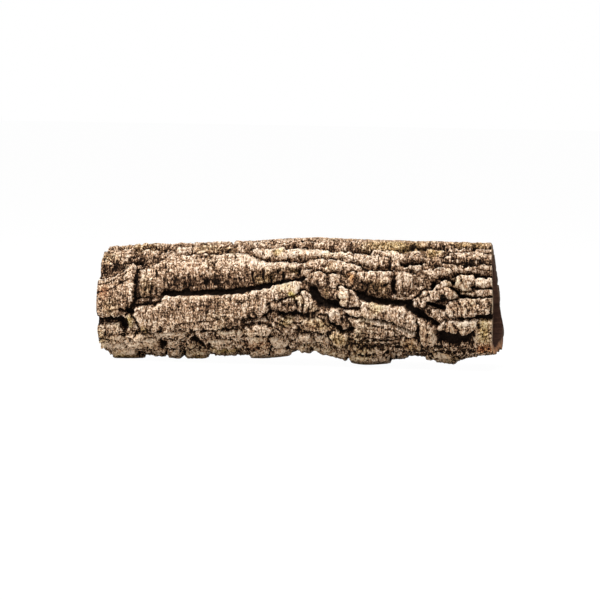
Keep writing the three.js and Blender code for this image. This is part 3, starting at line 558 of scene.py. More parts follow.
def crumbs(x, angle, cellX, cellAngle, seed):
    # Cells round jittered points: how far inside its cell a place is, the cell's own number and its tilt.
    rows, columns, gx, ga, ix, ia = cellGrid(x, angle, cellX, cellAngle, 1)
    random = np.random.RandomState(seed)
    jitter = random.uniform(0.12, 0.88, (rows, columns, 2))
    own = random.uniform(0, 1, (rows, columns))
    nearest = np.full(x.shape, 9.0)
    second = np.full(x.shape, 9.0)
    number, nearX, nearA = np.zeros(x.shape), np.zeros(x.shape), np.zeros(x.shape)
    for stepX in (-1, 0, 1):
        for stepA in (-1, 0, 1):
            cellI, cellJ = ix + stepX, (ia + stepA) % columns
            offX = gx - cellI - jitter[cellI, cellJ, 0]
            offA = ga - ia - stepA - jitter[cellI, cellJ, 1]
            away = np.hypot(offX, offA)
            closer = away < nearest
            second = np.where(closer, nearest, np.minimum(second, away))
            nearest = np.minimum(nearest, away)
            number = np.where(closer, own[cellI, cellJ], number)
            nearX = np.where(closer, offX, nearX)
            nearA = np.where(closer, offA, nearA)
    return second - nearest, number, (number * 7.3 % 1 - 0.5) * nearX + (number * 13.7 % 1 - 0.5) * nearA


def offEdge(start, end, x, angle):
    # Step from each place to the nearest point of a straight edge.
    dx, dy = end[0] - start[0], end[1] - start[1]
    t = np.clip(((x - start[0]) * dx + (angle - start[1]) * dy) / (dx * dx + dy * dy), 0, 1)
    return start[0] + t * dx - x, start[1] + t * dy - angle


def nearLine(points, x, angle):
    return np.minimum.reduce([np.hypot(*offEdge(*ends, x, angle)) for ends in zip(points, points[1:])])


def insideOutline(outline, x, angle):
    # Distance to the outline, positive inside, and how far the nearest edge lies above.
    nearest = np.full(x.shape, 1e6)
    above = np.zeros(x.shape)
    inside = np.zeros(x.shape, bool)
    for start, end in zip(outline, outline[1:] + outline[:1]):
        offX, offA = offEdge(start, end, x, angle)
        away = np.hypot(offX, offA)
        above = np.where(away < nearest, offA / np.maximum(away, 1e-6), above)
        nearest = np.minimum(nearest, away)
        (ax, ay), (bx, by) = start, end
        if ay != by:
            inside ^= ((ay > angle) != (by > angle)) & (x < ax + (angle - ay) / (by - ay) * (bx - ax))
    return np.where(inside, nearest, -nearest), above


def rollProfile(outline, upper, under, x, angle):
    # Rounds a roll over its narrow upper edge and its wide underside.
    toUpper = np.full(x.shape, 1e6)
    toUnder = np.full(x.shape, 1e6)
    for start, end in zip(outline, outline[1:] + outline[:1]):
        away = nearLine([start, end], x, angle)
        overIt = np.array([(start[0] + end[0]) / 2]), np.array([(start[1] + end[1]) / 2 + 0.4])
        if insideOutline(outline, *overIt)[0][0] > 0 and abs(end[0] - start[0]) > abs(end[1] - start[1]):
            toUnder = np.minimum(toUnder, away)
        else:
            toUpper = np.minimum(toUpper, away)
    return ((1 - (1 - np.clip(toUpper / upper, 0, 1)) ** 2)
            * (1 - (1 - np.clip(toUnder / under, 0, 1)) ** 2))


def shoulder(depth, edge):
    # Rounded rise from a plate's edge to its top.
    t = np.clip(depth / edge, 0, 1)
    return (1 - (1 - t) ** 2.4) ** (1 / 2.4)


def touches(points, x, angle, margin=3.0):
    # Whether a place is in or near the box round an outline or a line.
    (lowX, lowA), (highX, highA) = np.min(points, 0) - margin, np.max(points, 0) + margin
    return (x > lowX) & (x < highX) & (angle > lowA) & (angle < highA)


def fromPatch(patch, x, angle):
    # Distance from the middle of an oval patch, 1 at its edge.
    return np.hypot((x - patch[0]) / patch[2], (angle - patch[1]) / patch[3])


def blurred(values, reach):
    # Gaussian blur over rows and columns; the columns close on themselves.
    weights = np.exp(-0.5 * (np.arange(-2 * reach, 2 * reach + 1) / reach) ** 2)
    weights /= weights.sum()
    padded = np.pad(values, ((2 * reach, 2 * reach), (0, 0)), mode="edge")
    result = sum(w * padded[i:i + values.shape[0]] for i, w in enumerate(weights))
    return sum(w * np.roll(result, i - 2 * reach, axis=1) for i, w in enumerate(weights))


# Amounts of the fine relief, in mm, but for the shares, angles and the patch.
roughness = {
    "raggedEdge": 2.4,
    "edgeShare": 0.6,
    "bareRise": 5,
    "middleLevel": 5.6,
    "middleLayers": 2.0,
    "undersideFill": 1.5,
    "backFill": 4.5,
    "backFrom": 100,
    "backWander": 5.5,
    "seams": 2.2,
    "splits": 1.5,
    "lumps": 1.2,
    "chunks": 1.0,
    "clefts": 0.9,
    "combLines": 0.75,
    "uncombedPatch": (86, -43, 30, 11),
    "growthLines": 0.7,
    "grit": 1.1,
    "pits": 1.4,
    "overhang": 0.07,
    "crown": 10,
    "crownGive": 2.2,
    "sinking": 0.5,
    "deepest": -2.6,
    "deepestAtEnds": -1.2,
}


def plateRelief(px, pa):
    # Rise of the plates, a tone for each, their seams with a painted shadow line along the lower edges, a
    # painted highlight along the upper edges, and where the bark is bare.
    height, tone, seamAndShade, lipHighlight, bare = [np.zeros(px.shape) for part in range(5)]
    for number, (rise, edge, outline) in enumerate(barkPlates + backPlates()):
        for turn in (0, 360):
            near = touches(outline, px, pa + turn)
            if not near.any():
                continue
            x, angle = px[near], pa[near] + turn
            depth, above = insideOutline(outline, x, angle)
            if outline[0] in roundRolls:
                profile = rollProfile(outline, *roundRolls[outline[0]], x, angle)
            else:
                profile = shoulder(depth, edge * roughness["edgeShare"])
            lift = np.where(depth > 0, rise * profile, 0)
            if outline[0] in roundRolls or rise <= roughness["bareRise"]:
                bare[near] = np.maximum(bare[near], smooth(depth / 3))
            higher = lift > height[near]
            tone[near] = np.where(higher, (number * 0.381966) % 1, tone[near])
            # Groove round the plate's edge, strongest along its lower edge, where it is also painted dark
            # as a shadow line.
            rim = np.exp(-((depth + 0.4) / 0.95) ** 2) * (0.2 + 0.8 * smooth(-1.4 * above))
            seamAndShade[near] = np.where(higher, rim, np.where(depth < 0, np.maximum(seamAndShade[near], rim), seamAndShade[near]))
            # Painted highlight just inside the plate's upper edge, where light catches it.
            upperEdgeHighlight = np.exp(-((depth - 1.2) / 1.1) ** 2) * smooth(1.6 * above)
            lipHighlight[near] = np.where(higher, upperEdgeHighlight, lipHighlight[near])
            height[near] = np.maximum(height[near], lift)
    return height, tone, seamAndShade, lipHighlight, bare


def shadedHollows(x, angle, ragX, ragA):
    # 1 deep in the hollows, fading to 0 round them: the mask that sinks the hollows and paints shade in
    # them.
    gloom = np.zeros(x.shape)
    for reach, points in darkHollows:
        near = touches(points, x, angle, 2 * reach)
        away = nearLine(points, x[near] + 0.8 * ragX[near], angle[near] + 0.8 * ragA[near])
        gloom[near] = np.maximum(gloom[near], smooth(1.45 - away / reach))
    return gloom


def barkRelief(x, angle):
    # Height over the furrow floor in mm, a tone for each plate, the hollows, and the thin lines of painted
    # shade and highlight.
    r = roughness
    ragX = layeredNoise(x, angle, 9, 6, 3) + 0.35 * softNoise(x, angle, 3.4, 2.6, 5)
    ragA = 0.7 * layeredNoise(x, angle, 10, 7, 7) + 0.5 * softNoise(x, angle, 3, 3, 9)
    ragX, ragA = r["raggedEdge"] * ragX, r["raggedEdge"] * ragA
    back = smooth((abs(angle) - r["backFrom"]) / 20)
    swing = 0.8 * layeredNoise(x, angle, 60, 30, 73) + 0.9 * softNoise(x, angle, 130, 72, 87)
    px = x + ragX + back * r["backWander"] * layeredNoise(x, angle, 44, 24, 71)
    pa = angle + ragA + back * r["backWander"] * swing
    height, tone, seamAndShade, lipHighlight, bare = plateRelief(px, pa)

    # Between the plates the bark is ragged and layered, but for the deep hollows.
    gloom = shadedHollows(x, angle, ragX, ragA)
    grown = back * smooth(0.3 + 1.4 * softNoise(x, angle, 34, 18, 79))
    layers = softNoise(x, angle + 1.5 * ragA, 30, 3.1, 53) + 0.6 * softNoise(px, pa, 8, 3.5, 59)
    middle = r["middleLevel"] + r["middleLayers"] * layers + r["backFill"] * grown
    middle = middle + r["undersideFill"] * smooth((36 - abs(angle + 90)) / 8)
    for *patch, raised in flushAreas:
        middle = middle + raised * smooth(1.3 - fromPatch(patch, px, pa))
    seamAndShade = seamAndShade * (1 - 0.8 * grown)
    height = np.maximum(height, middle * (1 - bare) * (1 - gloom)) - r["seams"] * seamAndShade
    height = height * (1 - 0.9 * gloom) - gloom
    for depthBelow, edge, outline in barkPockets:
        near = touches(outline, px, pa)
        depth, above = insideOutline(outline, px[near], pa[near])
        height[near] -= np.where((depth > 0) & (gloom[near] > 0.4), depthBelow * shoulder(depth, edge), 0)
    onPlate = smooth((height - 2) / 5)

    # Lumps and broken chunks on the plates.
    height = height + r["lumps"] * layeredNoise(x, angle, 21, 10, 11) * onPlate
    worn = smooth(0.5 + 1.4 * softNoise(x, angle, 38, 16, 19))
    gap, own, tilt = crumbs(px, pa + 0.05 * px, 17, 7.5, 23)
    height = height + onPlate * worn * (r["chunks"] * (own - 0.5 + 1.5 * tilt)
                                        - r["clefts"] * np.exp(-(gap / 0.07) ** 2))
    gap, own, tilt = crumbs(px, pa, 8.0, 3.6, 29)
    height = height + onPlate * r["chunks"] * (0.6 * (own - 0.5) + 2.2 * tilt)
    # The dark colour lines start as painted shadow along the seams.
    line = 0.9 * seamAndShade * smooth(0.75 + softNoise(x, angle, 12, 9, 91))

    # Thin splits low on the tube and along its top, where the layers part.
    body = blurred(height, 4)
    flat = np.maximum(smooth((-angle - 32) / 8), smooth((angle - 44) / 8))
    strands = softNoise(x, angle + 0.7 * ragA, 42, 4.2, 81) + 0.4 * softNoise(x, angle, 12, 3.5, 83)
    split = np.exp(-(strands / 0.13) ** 2) * (0.15 + 0.85 * flat)
    split = split * smooth(0.7 + softNoise(x, angle, 20, 8, 85))
    height = height - r["splits"] * split
    # The splits are painted dark, as shade in them.
    line = np.maximum(line, 0.75 * split)

    # Comb lines down the underside of the rolls, growth lines along them, grit and pits.
    underside = smooth((np.roll(body, -2, axis=1) - np.roll(body, 2, axis=1)) / 2.5)
    comb = softNoise(x + ragX, angle, 2.2, 12, 31) + 0.8 * softNoise(x, angle, 5.5, 14, 33)
    comb = comb * smooth(3.0 * fromPatch(r["uncombedPatch"], x, angle) - 2.2)
    height = height + r["combLines"] * comb * onPlate * (0.5 + 1.5 * underside)
    # Comb grooves painted dark, most on the undersides, and the undersides of the rolls painted darker:
    # painted shade.
    line = np.maximum(line, 0.6 * smooth(-1.6 * comb - 0.5) * onPlate * (0.3 + 0.7 * underside))
    line = line + 0.35 * underside * onPlate
    height = height + r["growthLines"] * softNoise(x, angle + 0.8 * ragA, 34, 1.9, 37)
    height = height + r["grit"] * softNoise(x, angle, 2.1, 1.9, 43)
    height = height - r["pits"] * onPlate * smooth((softNoise(x, angle, 3.4, 2.8, 47) - 0.42) * 3.5)

    for halfWidth, depthBelow, points in barkCracks:
        near = touches(points, x, angle)
        away = nearLine(points, x[near] + 0.4 * ragX[near], angle[near] + 0.4 * ragA[near])
        groove = np.exp(-(away / halfWidth) ** 2)
        height[near] = height[near] - depthBelow * groove
        # Each crack is painted dark, as shade in it, the deeper the darker.
        line[near] = np.maximum(line[near], min(depthBelow / 2.2, 1) * groove)
    rounded = r["crown"] + r["crownGive"] * np.tanh((height - r["crown"]) / r["crownGive"])
    height = np.where(height > r["crown"], rounded, height) - r["sinking"]
    # Painted highlight: the upper edges are lightened, but not in the hollows.
    line = line - 0.45 * lipHighlight * (1 - gloom)
    floorHeight = r["deepest"] + (r["deepestAtEnds"] - r["deepest"]) * nearEnd(x)
    return np.maximum(height, floorHeight), tone, gloom, line


def section(x, angle):
    # Radius of the tube, height of its middle and how far its upper side leans.
    share = np.clip(x / (tube["length"] / 2), -1, 1)
    top = along(tube["topHeights"], share)
    bottom = along(tube["bottomHeights"], share)
    triangle = along(tube["triangleShare"], share)
    turn = along(tube["triangleTurn"], share)
    middle = (top - bottom) / 2
    radius = middle * (1 + triangle * np.cos(np.radians(3 * (angle - turn))))
    return radius, (top + bottom) / 2 - triangle * middle, along(tube["sectionLean"], share)


def place(x, angle, radius, centre, lean):
    up = radius * np.sin(np.radians(angle))
    out = -radius * np.cos(np.radians(angle)) - lean * up
    around = np.where(angle < -90, angle + 360, angle)
    skew = tube["endSwell"] * np.cos(np.radians(angle)) ** 2 + along(tube["rightSkew"], around)
    shift = nearEnd(x) * np.where(x > 0, skew, tube["leftTrim"])
    return np.stack([x + shift, out, np.maximum(centre + up, 0)], axis=-1)


def boreWall(x, angle):
    radius, centre, lean = section(x, angle)
    depth = tube["boreDepth"] + (tube["boreDepthAtEnds"] - tube["boreDepth"]) * nearEnd(x)
    ripple = 0.7 * np.sin(x * 0.05 + np.radians(angle * 2)) + 0.5 * np.sin(np.radians(angle * 5) + x * 0.03)
    grain = 0.35 * softNoise(x, angle, 30, 3, 61) + 0.25 * softNoise(x, angle, 60, 7, 67)
    return place(x, angle, radius - depth + ripple + grain * (1 - nearEnd(x)), centre, lean)


def columnAngles():
    front = np.linspace(meshing["frontFrom"], meshing["frontTo"], meshing["frontColumns"], endpoint=False)
    back = np.linspace(meshing["frontTo"], 360 + meshing["frontFrom"], meshing["backColumns"] + 1)
    return np.concatenate([front, back])


def barkSurface():
    # Points of every ring in turn: bark left to right, right cut, bore right to left, left cut.
    angles = columnAngles()
    half = tube["length"] / 2
    x, angle = np.meshgrid(np.linspace(-half, half, meshing["outerRows"] + 1), angles, indexing="ij")
    height, tone, gloom, line = barkRelief(x[:, :-1], halfTurned(angle)[:, :-1])
    body = blurred(height, 2)
    slope = np.roll(body, -1, axis=1) - np.roll(body, 1, axis=1)
    lean = closed(roughness["overhang"] * np.clip(slope, 0, 4) * np.clip(height, 0, 12))
    radius, centre, shear = section(x, angle)
    bark = place(x, angle - lean, radius - tube["furrowDepth"] + closed(height), centre, shear)

    x, angle = np.meshgrid(np.linspace(half, -half, meshing["boreRows"] + 1), angles, indexing="ij")
    bore = boreWall(x, angle)
    shares = np.linspace(0, 1, meshing["endRows"] + 1)[1:-1, None, None]
    rightCut = bark[-1] * (1 - shares) + bore[0] * shares
    leftCut = bore[-1] * (1 - shares) + bark[0] * shares
    for cut, side in ((rightCut, 1), (leftCut, -1)):
        # Each sawn face is bitten in a little, unevenly.
        bite = softNoise(cut[..., 1] * 3, np.degrees(np.arctan2(cut[..., 2] - 62, cut[..., 1])), 6, 5, 71)
        cut[..., 0] -= side * 0.35 * (1 + bite)
    points = np.concatenate([bark, rightCut, bore, leftCut, bark[:1]])

    # What the material reads: values of the bark, painted shade and highlight among them, and one value
    # each for the cuts and the bore.
    # Crests standing above their surroundings read high and hollows low: painted highlight and painted
    # shade.
    hollow = 1.8 * height - blurred(height, 4) - 0.8 * body
    readings = {
        # How high the bark lies; the deeper, the darker the colour: partly painted shade in the furrows.
        "relief": (np.clip((height + 2) / 14, 0, 1), 11 / 14),
        "hollow": (np.clip(hollow / 6, -0.5, 0.5), 0.0),
        "tone": (tone, 0.5),
        # Painted shade: darkens the colour deep in the hollows.
        "gloom": (gloom, 0.0),
        # Painted shade in cracks, splits, seams and on undersides, less the painted highlight on upper
        # edges.
        "line": (line, 0.0),
    }
    values = {}
    for name, (found, elsewhere) in readings.items():
        values[name] = np.full(points.shape[:2], elsewhere)
        values[name][:len(bark)] = closed(found)
    return points, values, angles, len(bark), len(rightCut), len(bore)


def stains(x, angle):
    # Colour and strength of the stains at each place, and how much paler or darker the bark is, partly as
    # painted light and shade.
    colour = np.ones(x.shape + (3,)) * 0.5
    strength, change = np.zeros(x.shape), np.zeros(x.shape)
    px, pa = x + 3 * layeredNoise(x, angle, 9, 7, 83), angle + 3 * layeredNoise(x, angle, 9, 7, 89)
    for *patch, tint, amount in stainPatches:
        here = amount * smooth(1.25 - fromPatch(patch, px, pa))
        share = (here / np.maximum(strength + here, 1e-6))[..., None]
        colour = np.where(here[..., None] > 0, colour * (1 - share) + np.array(tint) * share, colour)
        strength = np.maximum(strength, here)
    for *patch, amount in toneLightAndShadePatches:
        change = change + amount * smooth(1.3 - fromPatch(patch, px, pa))
    return colour, strength, change


class Wire:
    # One output socket of a material, with arithmetic that adds Math nodes.
    def __init__(self, shader, socket):
        self.shader = shader
        self.socket = socket

    def maths(self, operation, first, second):
        return self.shader.node("ShaderNodeMath", {"operation": operation}, {0: first, 1: second})

    def __add__(self, other):
        return self.maths("ADD", self, other)

    def __radd__(self, other):
        return self.maths("ADD", other, self)

    def __sub__(self, other):
        return self.maths("SUBTRACT", self, other)

    def __rsub__(self, other):
        return self.maths("SUBTRACT", other, self)

    def __mul__(self, other):
        return self.maths("MULTIPLY", self, other)

    def __rmul__(self, other):
        return self.maths("MULTIPLY", other, self)

    def ramp(self, low, high):
        # 0 at low, 1 at high, eased between them.
        return self.shader.node("ShaderNodeMapRange", {"interpolation_type": "SMOOTHSTEP"},
                                {0: self, 1: low, 2: high, 3: 0.0, 4: 1.0})


class Shader:
    # A material whose nodes are added one call at a time.
    def __init__(self, name):
        self.material = bpy.data.materials.new(name)
        self.material.use_nodes = True
        self.tree = self.material.node_tree
        self.surface = self.tree.nodes["Principled BSDF"]

    def node(self, kind, settings=None, inputs=None, output=0):
        made = self.tree.nodes.new(kind)
        for key, value in (settings or {}).items():
            if key == "stops":
                while len(made.color_ramp.elements) < len(value):
                    made.color_ramp.elements.new(0.5)
                for element, (position, colour) in zip(made.color_ramp.elements, value):
                    element.position = position
                    element.color = (*colour, 1)
            else:
                setattr(made, key, value)
        for key, value in (inputs or {}).items():
            self.feed(made.inputs[key], value)
        return Wire(self, made.outputs[output])

    def feed(self, socket, value):
        if isinstance(value, Wire):
            self.tree.links.new(value.socket, socket)
        elif isinstance(value, tuple) and socket.type == "RGBA":
            socket.default_value = (*value, 1)
        else:
            socket.default_value = value

    def place(self):
        return self.node("ShaderNodeTexCoord", output="Object")

    def coordinate(self, axis):
        return self.node("ShaderNodeSeparateXYZ", None, {0: self.place()}, output=axis)

    def stretched(self, scale):
        return self.node("ShaderNodeVectorMath", {"operation": "MULTIPLY"}, {0: self.place(), 1: scale})

    def noise(self, vector, scale, detail=3.0, rough=0.55, output=0):
        return self.node("ShaderNodeTexNoise", None,
                         {"Vector": vector, "Scale": scale, "Detail": detail, "Roughness": rough}, output)

    def reading(self, name, output="Fac"):
        return self.node("ShaderNodeAttribute", {"attribute_name": name}, output=output)

    def contour(self, height, steps, width):
        # Thin lines where a height passes from one step to the next: 1 on the line.
        within = (height * steps).maths("FRACT", height * steps, 0.0)
        return 1 - (within - 0.5).maths("ABSOLUTE", within - 0.5, 0.0).ramp(0.0, width)

    def colours(self, stops, level):
        return self.node("ShaderNodeValToRGB", {"stops": stops}, {0: level})

    def mix(self, share, first, second, mode="MIX"):
        return self.node("ShaderNodeMix", {"data_type": "RGBA", "blend_type": mode},
                         {0: share, 6: first, 7: second}, output=2)

    def finish(self, colour, rough, bumpHeight, bumpDistance, bumpStrength=1.0):
        bump = self.node("ShaderNodeBump", None, {"Height": bumpHeight, "Distance": bumpDistance,
                                                  "Strength": bumpStrength})
        self.feed(self.surface.inputs["Base Color"], colour)
        self.feed(self.surface.inputs["Roughness"], rough)
        self.feed(self.surface.inputs["Normal"], bump)
        self.surface.inputs["Specular IOR Level"].default_value = 0.08
        return self.material


# Weathered bark: its colours from dark to pale, and how far each value and pattern lightens it.
weathered = {
    "colours": [
        # The darkest colours carry the painted shade of the hollows, cracks, seams and furrows.
        (0.04, (0.009, 0.005, 0.003)),
        (0.24, (0.045, 0.025, 0.015)),
        (0.44, (0.204, 0.109, 0.062)),
        (0.64, (0.490, 0.306, 0.184)),
        (0.82, (0.770, 0.550, 0.380)),
        (0.98, (1.000, 0.840, 0.680)),
    ],
    "start": 0.36,
    # Painted shade and highlight come in through the readings: deep bark, hollows, cracks, seams,
    # undersides and the deep hollows are darkened, crests and upper edges lightened; the stretches of
    # change are partly painted light and shade.
    "readings": {"relief": 0.34, "hollow": 0.50, "line": -0.55, "change": 1.0, "gloom": -0.42},
    "patterns": {"speck": 0.42, "fleck": 0.14, "comb": 0.32, "grain": 0.14, "cloud": 0.10, "crumb": 0.12,
                 "tone": 0.10},
    "layerLine": -0.36,
    "combLine": -0.34,
    "greenTint": (0.88, 0.90, 0.56),
    "warmTint": (1.0, 0.90, 0.78),
    "rough": 0.93,
    "bump": 0.0015,
}


def barkMaterial():
    s = Shader("weatheredCork")
    drift = s.noise(s.place(), 150.0, 2.0, 0.5, output=1)
    moved = s.node("ShaderNodeVectorMath", {"operation": "MULTIPLY_ADD"},
                   {0: drift, 1: (0.006, 0.006, 0.006), 2: s.place()})
    patterns = {
        "speck": s.noise(s.stretched((1.0, 0.5, 0.5)), 980.0, 1.0, 0.5).ramp(0.42, 0.58),
        "fleck": s.noise(s.place(), 380.0, 2.0, 0.6).ramp(0.36, 0.64),
        "cloud": s.noise(s.place(), 45.0, 2.0, 0.5).ramp(0.3, 0.7),
        "comb": s.noise(s.stretched((1.0, 0.2, 0.2)), 620.0, 2.0, 0.6).ramp(0.38, 0.62),
        "grain": s.noise(s.stretched((0.22, 1.0, 1.0)), 520.0, 2.0, 0.6).ramp(0.38, 0.62),
        "crumb": s.node("ShaderNodeTexVoronoi", {"feature": "F1"}, {"Vector": moved, "Scale": 230.0},
                        output=1),
        "tone": s.reading("tone"),
    }
    layerLine = s.contour(s.noise(s.stretched((0.22, 1.0, 1.0)), 95.0, 3.0, 0.6), 9.0, 0.10)
    combLine = s.contour(s.noise(s.stretched((1.0, 0.30, 0.30)), 150.0, 3.0, 0.6), 7.0, 0.09)
    level = weathered["start"] + weathered["layerLine"] * layerLine + weathered["combLine"] * combLine
    for name, amount in weathered["readings"].items():
        level = level + amount * s.reading(name)
    for name, amount in weathered["patterns"].items():
        level = level + amount * (patterns[name] - 0.5)
    # Low on the tube the bark has harder contrast: its dark parts are painted darker, as shade that the
    # soft light there doesn't give.
    low = 1 - s.coordinate(2).ramp(0.012, 0.055)
    level = level + low * (0.4 * (level.ramp(0.15, 0.70) - 0.9) - 0.25 * level.ramp(0.75, 1.15)
                           + 0.34 * (patterns["fleck"] - 0.5))
    colour = s.colours(weathered["colours"], level)
    stainAmount = s.reading("stainAmount")
    stainColour = s.reading("stainColour", "Color")
    stained = s.mix(stainAmount, colour, s.mix(1.0, colour, stainColour, "OVERLAY"))
    tinted = s.mix(stainAmount * 0.35 * level.ramp(0.2, 0.7), stained, stainColour)
    algae = s.noise(s.place(), 21.0, 3.0, 0.6).ramp(0.54, 0.74) * 0.45
    green = s.mix(algae, tinted, s.mix(1.0, tinted, weathered["greenTint"], "MULTIPLY"))
    warm = s.mix(0.2 + 0.5 * low, green, s.mix(1.0, green, weathered["warmTint"], "MULTIPLY"))
    height = (patterns["speck"] * 0.3 + patterns["comb"] * 0.5 + patterns["grain"] * 0.3
              + patterns["fleck"] * 0.6 + patterns["crumb"] * 0.3 - layerLine - 0.8 * combLine)
    return s.finish(warm, weathered["rough"], height, weathered["bump"])


# Sawn ends: colours from near black to pale tan; the cut is mostly dark, painted shade, and the pale rim on
# its near side is a painted highlight.
sawn = {
    "colours": [
        (0.15, (0.018, 0.010, 0.007)),
        (0.40, (0.070, 0.038, 0.025)),
        (0.65, (0.25, 0.165, 0.10)),
        (0.95, (0.72, 0.58, 0.41)),
    ],
    "rust": (0.66, 0.31, 0.15),
    "rough": 0.9,
}


def cutMaterial():
    s = Shader("sawnCork")
    ring = s.reading("ring")
    fine = s.noise(s.place(), 700.0, 3.0, 0.6)
    cloud = s.noise(s.place(), 60.0, 2.0, 0.5)
    band = s.noise(s.node("ShaderNodeCombineXYZ", None, {0: ring * 9.0, 1: cloud * 2.0}), 3.0, 2.0, 0.6)
    # Pale rim along the outer edge on the near side only: painted highlight.
    rim = (1.1 - ring.ramp(0.3, 1.0)) * (1 - (s.coordinate(1) + 0.06 * (cloud - 0.5)).ramp(-0.05, 0.02))
    level = 0.12 + 0.5 * band + 0.6 * (fine - 0.5) + 0.5 * (cloud - 0.5) + 0.42 * rim
    # Rust low on the right end only.
    rust = (1 - s.coordinate(2).ramp(0.014, 0.034)) * s.coordinate(0).ramp(0.0, 0.1)
    rust = rust * s.noise(s.place(), 240.0, 2.0, 0.6).ramp(0.38, 0.60) * 0.8
    stained = s.mix(rust, s.colours(sawn["colours"], level), sawn["rust"])
    return s.finish(stained, sawn["rough"], band * 0.6 + fine * 0.4, 0.0008, 0.7)


# Colours of the bore, near black to dark red-brown: partly painted shade inside the tube.
inner = {
    "colours": [
        (0.2, (0.010, 0.005, 0.004)),
        (0.5, (0.048, 0.022, 0.015)),
        (0.75, (0.110, 0.054, 0.034)),
        (1.0, (0.22, 0.125, 0.082)),
    ],
    "rough": 0.85,
}


def boreMaterial():
    s = Shader("boreWood")
    fine = s.noise(s.place(), 520.0, 3.0, 0.6)
    grain = s.noise(s.stretched((0.06, 1.0, 1.0)), 260.0, 3.0, 0.6)
    cloud = s.noise(s.place(), 30.0, 2.0, 0.5)
    level = 0.5 + 0.6 * (grain - 0.5) + 0.45 * (fine - 0.5) + 0.6 * (cloud - 0.5)
    colour = s.colours(inner["colours"], level)
    return s.finish(colour, inner["rough"], grain * 0.7 + fine * 0.3, 0.0008, 0.7)


def addObject(name, data):
    made = bpy.data.objects.new(name, data)
    bpy.context.scene.collection.objects.link(made)
    return made


def addValues(mesh, name, kind, values):
    layer = mesh.attributes.new(name, kind, "POINT")
    field = "color" if kind == "FLOAT_COLOR" else "value"
    layer.data.foreach_set(field, np.ascontiguousarray(values, np.float32).ravel())


def makeBark():
    points, values, angles, barkRows, cutRows, boreRows = barkSurface()
    rows, columns = points.shape[:2]
    grid = bmesh.new()
    bmesh.ops.create_grid(grid, x_segments=rows - 1, y_segments=columns - 1, size=0.5)
    mesh = bpy.data.meshes.new("corkBark")
    grid.to_mesh(mesh)
    grid.free()

    # Each grid corner goes to its ring and column on the tube.
    flat = np.empty(len(mesh.vertices) * 3)
    mesh.vertices.foreach_get("co", flat)
    flat = flat.reshape(-1, 3)
    row = np.round((flat[:, 0] + 0.5) * (rows - 1)).astype(int)
    column = np.round((flat[:, 1] + 0.5) * (columns - 1)).astype(int)
    low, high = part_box("bark_tube")
    placed = (points[row, column] - np.array(tube["centre"])) * millimetre
    print("bark reaches", np.round(placed.min(0) * 1000, 1), np.round(placed.max(0) * 1000, 1))
    placed = np.clip(placed, np.array(low), np.array(high))
    mesh.vertices.foreach_set("co", placed.ravel())
    print("bark grid", rows, "by", columns)

    for name, value in values.items():
        addValues(mesh, name, "FLOAT", value[row, column])
    stainColour, stainAmount, change = stains(points[..., 0][row, column], halfTurned(angles)[column])
    addValues(mesh, "change", "FLOAT", change)
    addValues(mesh, "stainAmount", "FLOAT", stainAmount)
    addValues(mesh, "stainColour", "FLOAT_COLOR", np.column_stack([stainColour, np.ones(len(stainColour))]))
    fromBark = np.clip(np.minimum(row - barkRows + 1, rows - 1 - row) / (cutRows + 1), 0, 1)
    addValues(mesh, "ring", "FLOAT", fromBark)

    # The sawn ends and the bore get their own finish.
    corners = np.empty(len(mesh.loops), int)
    mesh.loops.foreach_get("vertex_index", corners)
    faceRow = row[corners].reshape(-1, 4).min(1)
    finish = np.zeros(len(mesh.polygons), int)
    finish[faceRow >= barkRows - 1] = 1
    finish[(faceRow >= barkRows + cutRows) & (faceRow < barkRows + cutRows + boreRows - 1)] = 2
    mesh.polygons.foreach_set("material_index", finish)

    # Closing the grid on itself both ways makes one closed body.
    shell = bmesh.new()
    shell.from_mesh(mesh)
    bmesh.ops.remove_doubles(shell, verts=shell.verts, dist=1e-6)
    bmesh.ops.recalc_face_normals(shell, faces=shell.faces)
    openEdges = sum(1 for edge in shell.edges if not edge.is_manifold)
    shell.to_mesh(mesh)
    shell.free()
    mesh.shade_smooth()
    bark = addObject("corkBark", mesh)
    for material in (barkMaterial(), cutMaterial(), boreMaterial()):
        mesh.materials.append(material)
    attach(bark, "root")
    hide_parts("bark_tube")
    print("bark ready,", len(mesh.polygons), "faces, open edges", openEdges)


# Camera: long lens, a little left of square to the tube and a little above it.
viewing = {
    "yaw": 9.0,
    "elevation": 4.0,
    "roll": 1.0,
    "distance": 3.4,
    "millimetresPerPixel": 1.022,
    "imageWidth": 600,
    "aim": (-3.353, -0.87, 62),
    "aimPixel": (299, 303),
}


def makeCamera():
    data = bpy.data.cameras.new("camera")
    camera = addObject("camera", data)
    yaw, elevation = math.radians(viewing["yaw"]), math.radians(viewing["elevation"])
    back = Vector((math.sin(yaw) * math.cos(elevation), -math.cos(yaw) * math.cos(elevation),
                   math.sin(elevation)))
    right = Vector((math.cos(yaw), math.sin(yaw), 0))
    up = back.cross(right)
    scale = viewing["millimetresPerPixel"] * millimetre
    data.sensor_width = 36
    data.lens = data.sensor_width * viewing["distance"] / (viewing["imageWidth"] * scale)
    data.clip_start, data.clip_end = 0.1, 50
    middle = viewing["imageWidth"] / 2
    across, down = viewing["aimPixel"]
    aim = Vector(viewing["aim"]) * millimetre
    aim += right * (middle - across) * scale + up * (down - middle) * scale
    turn = Matrix((right, up, back)).transposed() @ Matrix.Rotation(math.radians(viewing["roll"]), 3, "Z")
    camera.matrix_world = Matrix.Translation(aim + back * viewing["distance"]) @ turn.to_4x4()
    bpy.context.scene.camera = camera
    print("camera lens", round(data.lens, 1))


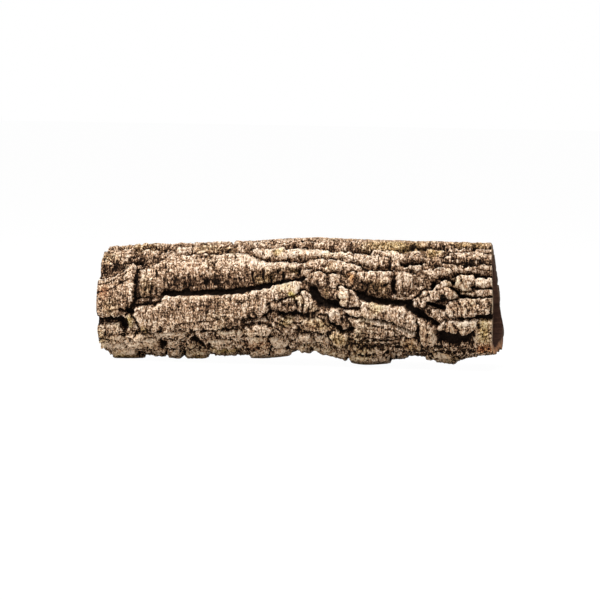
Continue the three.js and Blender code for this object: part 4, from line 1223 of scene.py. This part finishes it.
# Soft lights as (place, aim, size, power), and the pale floor and sky round the tube.
lights = {
    "key": ((-0.7, -1.3, 2.0), (0, 0, 0.07), 0.6, 68),
    "over": ((0.1, 0.0, 2.2), (0, 0, 0.07), 1.4, 36),
    "fill": ((2.6, -0.9, 0.8), (0, 0, 0.07), 1.2, 20),
    "low": ((-1.7, -2.0, 0.12), (0, 0, 0.03), 0.5, 22),
}
surroundings = {
    "floorRadius": 14,
    "floorColour": (0.60, 0.59, 0.57),
    "floorRough": 0.9,
    "floorGlow": 1.05,
    "glowShare": 0.93,
    "skyLight": 0.22,
    "skySeen": 1.0,
}


def makeStudio():
    for name, (spot, aim, size, power) in lights.items():
        data = bpy.data.lights.new(name, "AREA")
        data.shape = "DISK"
        data.size = size
        data.energy = power
        lamp = addObject(name, data)
        lamp.location = spot
        lamp.rotation_euler = (Vector(aim) - Vector(spot)).to_track_quat("-Z", "Y").to_euler()

    sheet = bmesh.new()
    bmesh.ops.create_circle(sheet, cap_ends=True, segments=96, radius=surroundings["floorRadius"])
    mesh = bpy.data.meshes.new("floor")
    sheet.to_mesh(mesh)
    sheet.free()
    floor = addObject("floor", mesh)
    s = Shader("paleFloor")
    s.feed(s.surface.inputs["Base Color"], surroundings["floorColour"])
    s.feed(s.surface.inputs["Roughness"], surroundings["floorRough"])
    glow = s.node("ShaderNodeEmission", None,
                  {"Color": (1.0, 1.0, 1.0), "Strength": surroundings["floorGlow"]})
    seen = s.node("ShaderNodeLightPath", output="Is Camera Ray") * surroundings["glowShare"]
    blend = s.node("ShaderNodeMixShader", None, {0: seen, 1: Wire(s, s.surface.outputs[0]), 2: glow})
    s.feed(s.tree.nodes["Material Output"].inputs["Surface"], blend)
    mesh.materials.append(s.material)

    world = bpy.data.worlds.new("studio")
    bpy.context.scene.world = world
    world.use_nodes = True
    tree = world.node_tree
    background = tree.nodes["Background"]
    path = tree.nodes.new("ShaderNodeLightPath")
    strength = tree.nodes.new("ShaderNodeMapRange")
    strength.inputs["To Min"].default_value = surroundings["skyLight"]
    strength.inputs["To Max"].default_value = surroundings["skySeen"]
    tree.links.new(path.outputs["Is Camera Ray"], strength.inputs["Value"])
    tree.links.new(strength.outputs[0], background.inputs["Strength"])
    background.inputs["Color"].default_value = (1, 1, 1, 1)
    bpy.context.scene.view_settings.view_transform = "Standard"
    print("studio ready")


makeBark()
makeCamera()
makeStudio()
